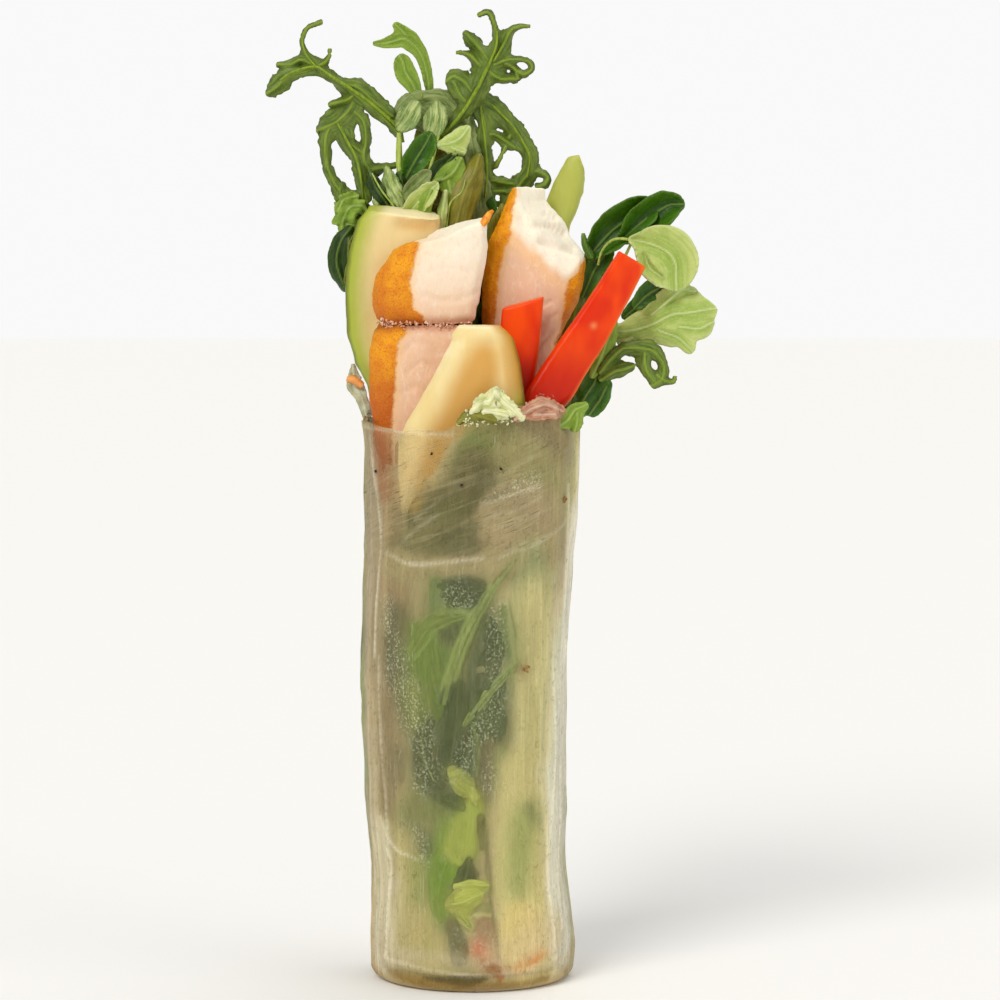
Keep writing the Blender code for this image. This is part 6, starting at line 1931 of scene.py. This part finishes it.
crumbs = {  # finish colours, slot, size in millimetres, count, radius, strokes of (x, z, spread)
    "rim_crumbs": (tint(240, 238, 198), tint(206, 212, 150), "leaf", 0.28, 110, 22.3,
                   [[(-1.6, 120.8, 0.8), (1.4, 122.8, 1.6), (4.4, 125.2, 1.6)],
                    [(4.4, 126.2, 1.2), (7.4, 123.4, 1.6), (10, 121.4, 1.0)],
                    [(-3, 119.6, 0.6), (4, 120.4, 1.0), (9, 120.6, 1.0)]]),
    "rim_fuzz": (tint(232, 196, 164), tint(196, 150, 112), "chicken", 0.24, 70, 22.0,
                 [[(9.6, 121.4, 0.8), (12.6, 122.8, 1.2), (16, 123.4, 1.2), (18.6, 122.2, 0.8)]]),
    "rim_red": (tint(206, 96, 70), tint(170, 60, 40), "pepper", 0.3, 14, 21.4,
                [[(12, 124.2, 0.8), (15, 124.8, 1.0), (17.6, 124.4, 0.8)]]),
    "rim_knot": (tint(176, 158, 112), tint(110, 92, 54), "herb", 0.34, 26, 22.8,
                 [[(-21.6, 119.4, 0.8), (-21.8, 118.6, 0.6)]]),
    "dark_specks": (tint(40, 30, 20), tint(20, 16, 10), "herb", 0.24, 4, 0,
                    [[(-8.1, 113.6, 0), (-8.1, 113.7, 0)], [(-19.6, 109, 0), (-19.6, 109.1, 0)],
                     [(-2.1, 107.1, 0), (-2.1, 107.2, 0)], [(5.9, 110.4, 0), (5.9, 110.5, 0)]]),
    "brown_specks": (tint(176, 130, 70), tint(130, 90, 40), "herb", 0.2, 16, 0,
                     [[(18.6, 103.2, 0.9), (18.8, 103.4, 0.9)], [(10.8, 68.2, 0.8), (11.2, 68, 0.8)]]),
}
seam = []  # the pinch between the two halves of the left strip
for node in ("chicken_left_upper", "chicken_left_lower"):
    places, facing = points(halves[node].data), points(halves[node].data, "normal")
    seam.append(places[(np.abs(places[:, 2] - meat["pinchHeight"]) < 1.2) & (facing[:,
        1] < -0.2) & (places[:, 0] < 0)])
seam = np.vstack(seam)
seam = seam[picks.choice(len(seam), 170)]
seam[:, 2] = 139.9 + picks.normal(0, 0.65, len(seam))
seam += picks.normal(0, 0.15, seam.shape)
fuzzLook = stemLook("crease_fuzz", tint(250, 212, 186), tint(214, 146, 102))
scatter("crease_fuzz", fuzzLook, "chicken", seam, picks.uniform(0.5, 1.5, (len(seam), 3)), grains, 0.24, 2,
        8)
for name, (light, dark, slot, grain, count, radius, strokes) in crumbs.items():
    places = strewn(strokes, count, radius, picks)
    sizes = picks.uniform(0.6, 1.5, (count, 3)) if count > 4 else np.full((count, 3), 1.2)
    scatter(name, stemLook(name, light, dark), slot, places, sizes, grains, grain, 2, 5)
print("rim")

ribs = {  # the bright midribs of the feathery leaves, and bare stalks
    "left": [
        [(-15, 15.2, 178, 0.34), (-16, 14.4, 181, 0.36), (-21, 13.8, 185.6, 0.36), (-25, 12.8, 188.6, 0.34),
         (-30.5, 11.3, 192.2, 0.3),
         (-33.5, 10.3, 194, 0.26), (-38, 9.3, 193, 0.2), (-41, 8.4, 191.2, 0.12)],
        [(-33.5, 10.4, 194, 0.2), (-35.5, 10.9, 196.5, 0.16), (-36.3, 11.4, 199.5, 0.12),
         (-35.3, 12, 202, 0.1)],
        [(-23.6, 13.9, 165, 0.24), (-24, 13.6, 170, 0.26), (-25, 13.4, 174.5, 0.26),
         (-27, 13.2, 178.4, 0.26), (-29, 13, 182, 0.22)],
    ],
    "right": [
        [(-9, 14.6, 177, 0.3), (-6, 13.4, 180, 0.36), (-2.5, 12.7, 184, 0.38), (0.5, 11.9, 188.6, 0.38),
         (3, 10.9, 193.4, 0.34), (5, 9.9, 198.4, 0.24), (5.2, 9.7, 201.5, 0.16)],
        [(4.5, 10.3, 195.2, 0.2), (6.5, 9.5, 198.6, 0.16), (8, 9.1, 201.4, 0.12), (10, 8.9, 202.6, 0.1)],
        [(2.6, 16, 166, 0.24), (3, 16.2, 172, 0.24), (2.6, 15.8, 178, 0.24), (1.8, 15.2, 184, 0.24),
         (1.5, 14.6, 188, 0.2)],
        [(4, 15.4, 186, 0.2), (8, 16, 182, 0.22), (10.4, 16.6, 178.6, 0.22), (12.2, 17.2, 174.6, 0.22),
         (11.6, 17.6, 170.6, 0.2)],
    ],
}
ribGreen = stemLook("rib_green", tint(146, 168, 36), tint(112, 138, 26))
for side, strokes in ribs.items():
    stems("ribs_" + side, ribGreen, "herb", strokes, tube)
paleStem = stemLook("pale_stem", tint(190, 204, 104), tint(146, 172, 62))
stalks = [
    [(-9.6, 12.4, 162, 0.5), (-9.4, 11.6, 169, 0.5), (-8.9, 11.4, 173, 0.5), (-8.2, 11.6, 176.4, 0.46),
     (-7.2, 11.9, 179.8, 0.3)],
    [(-16.4, 13, 162, 0.7), (-15.6, 12.6, 168.6, 0.72), (-15.8, 12.4, 175, 0.75), (-15.8, 12.6, 180, 0.5)],
    [(25.4, 2.6, 122, 0.5), (27.6, 3.6, 131, 0.7), (29.8, 4.0, 139, 0.8), (31.0, 4.2, 145, 0.7),
     (31.8, 3.6, 152, 0.4), (33.6, 2.6, 156.6, 0.3)],
    [(26.6, 3.4, 152, 0.25), (27.4, 2.6, 155, 0.25), (29.4, 1.6, 157.2, 0.3), (31.6, 1.4, 157.6, 0.34),
     (34.0, 1.0, 157.2, 0.3)],
    [(-21.6, 11.6, 171.4, 0.16), (-19.6, 10.8, 167.8, 0.2), (-17.4, 10.2, 165, 0.22),
     (-15.8, 9.8, 162.6, 0.2)],
    [(-18.6, 11.4, 173, 0.14), (-17.2, 10.6, 169.6, 0.2), (-15.2, 10, 166.4, 0.2)],
    [(-5.6, 9.4, 160, 0.2), (-4.8, 9.4, 165, 0.22), (-2.4, 9.6, 167.4, 0.16), (-1.6, 9.8, 170, 0.12)],
]
underStem = stemLook("under_stem", tint(160, 174, 104), tint(124, 142, 72))
underRibs = [  # seen from the front: x, z, radius
    [(10.5, 92, 0.5), (7.5, 88.5, 0.6), (4.3, 85.0, 0.7), (0.6, 79.4, 0.8), (-2.4, 73.4, 0.75),
     (-4.6, 67, 0.7), (-6.2, 61, 0.45)],
    [(9.8, 69.6, 0.25), (7.5, 67, 0.4), (4.3, 64, 0.5), (1.5, 61, 0.5), (-0.6, 58.2, 0.4),
     (-1.6, 56.6, 0.2)],
    [(0.2, 57, 0.3), (1.2, 53, 0.36), (1.6, 50, 0.34), (1, 46, 0.26)],
    [(-9.5, 59, 0.2), (-11.0, 54, 0.3), (-10.4, 49.4, 0.28), (-8.4, 45, 0.2)],
]
wrapped = []
for stroke in underRibs:
    row = []
    for x, z, wide in stroke:
        angle = angleAt(float(around(x, z)))
        row.append((*onWall(angle, z, 20.95 - wide * 0.6), wide))
    wrapped.append(row)
stems("pressed_stems", underStem, "leaf", wrapped, tube)
stems("bare_stalks", paleStem, "leaf", stalks, tube)
curl = [[(2.0, -6.5, 160.6, 0.7), (2.9, -6.3, 161.8, 0.85), (3.6, -6.1, 163, 0.6), (4.4, -6, 163.6, 0.3)]]
stems("crust_curl", stemLook("crust_curl", tint(255, 180, 60), tint(226, 128, 24)), "chicken", curl, tube)
print("stems")
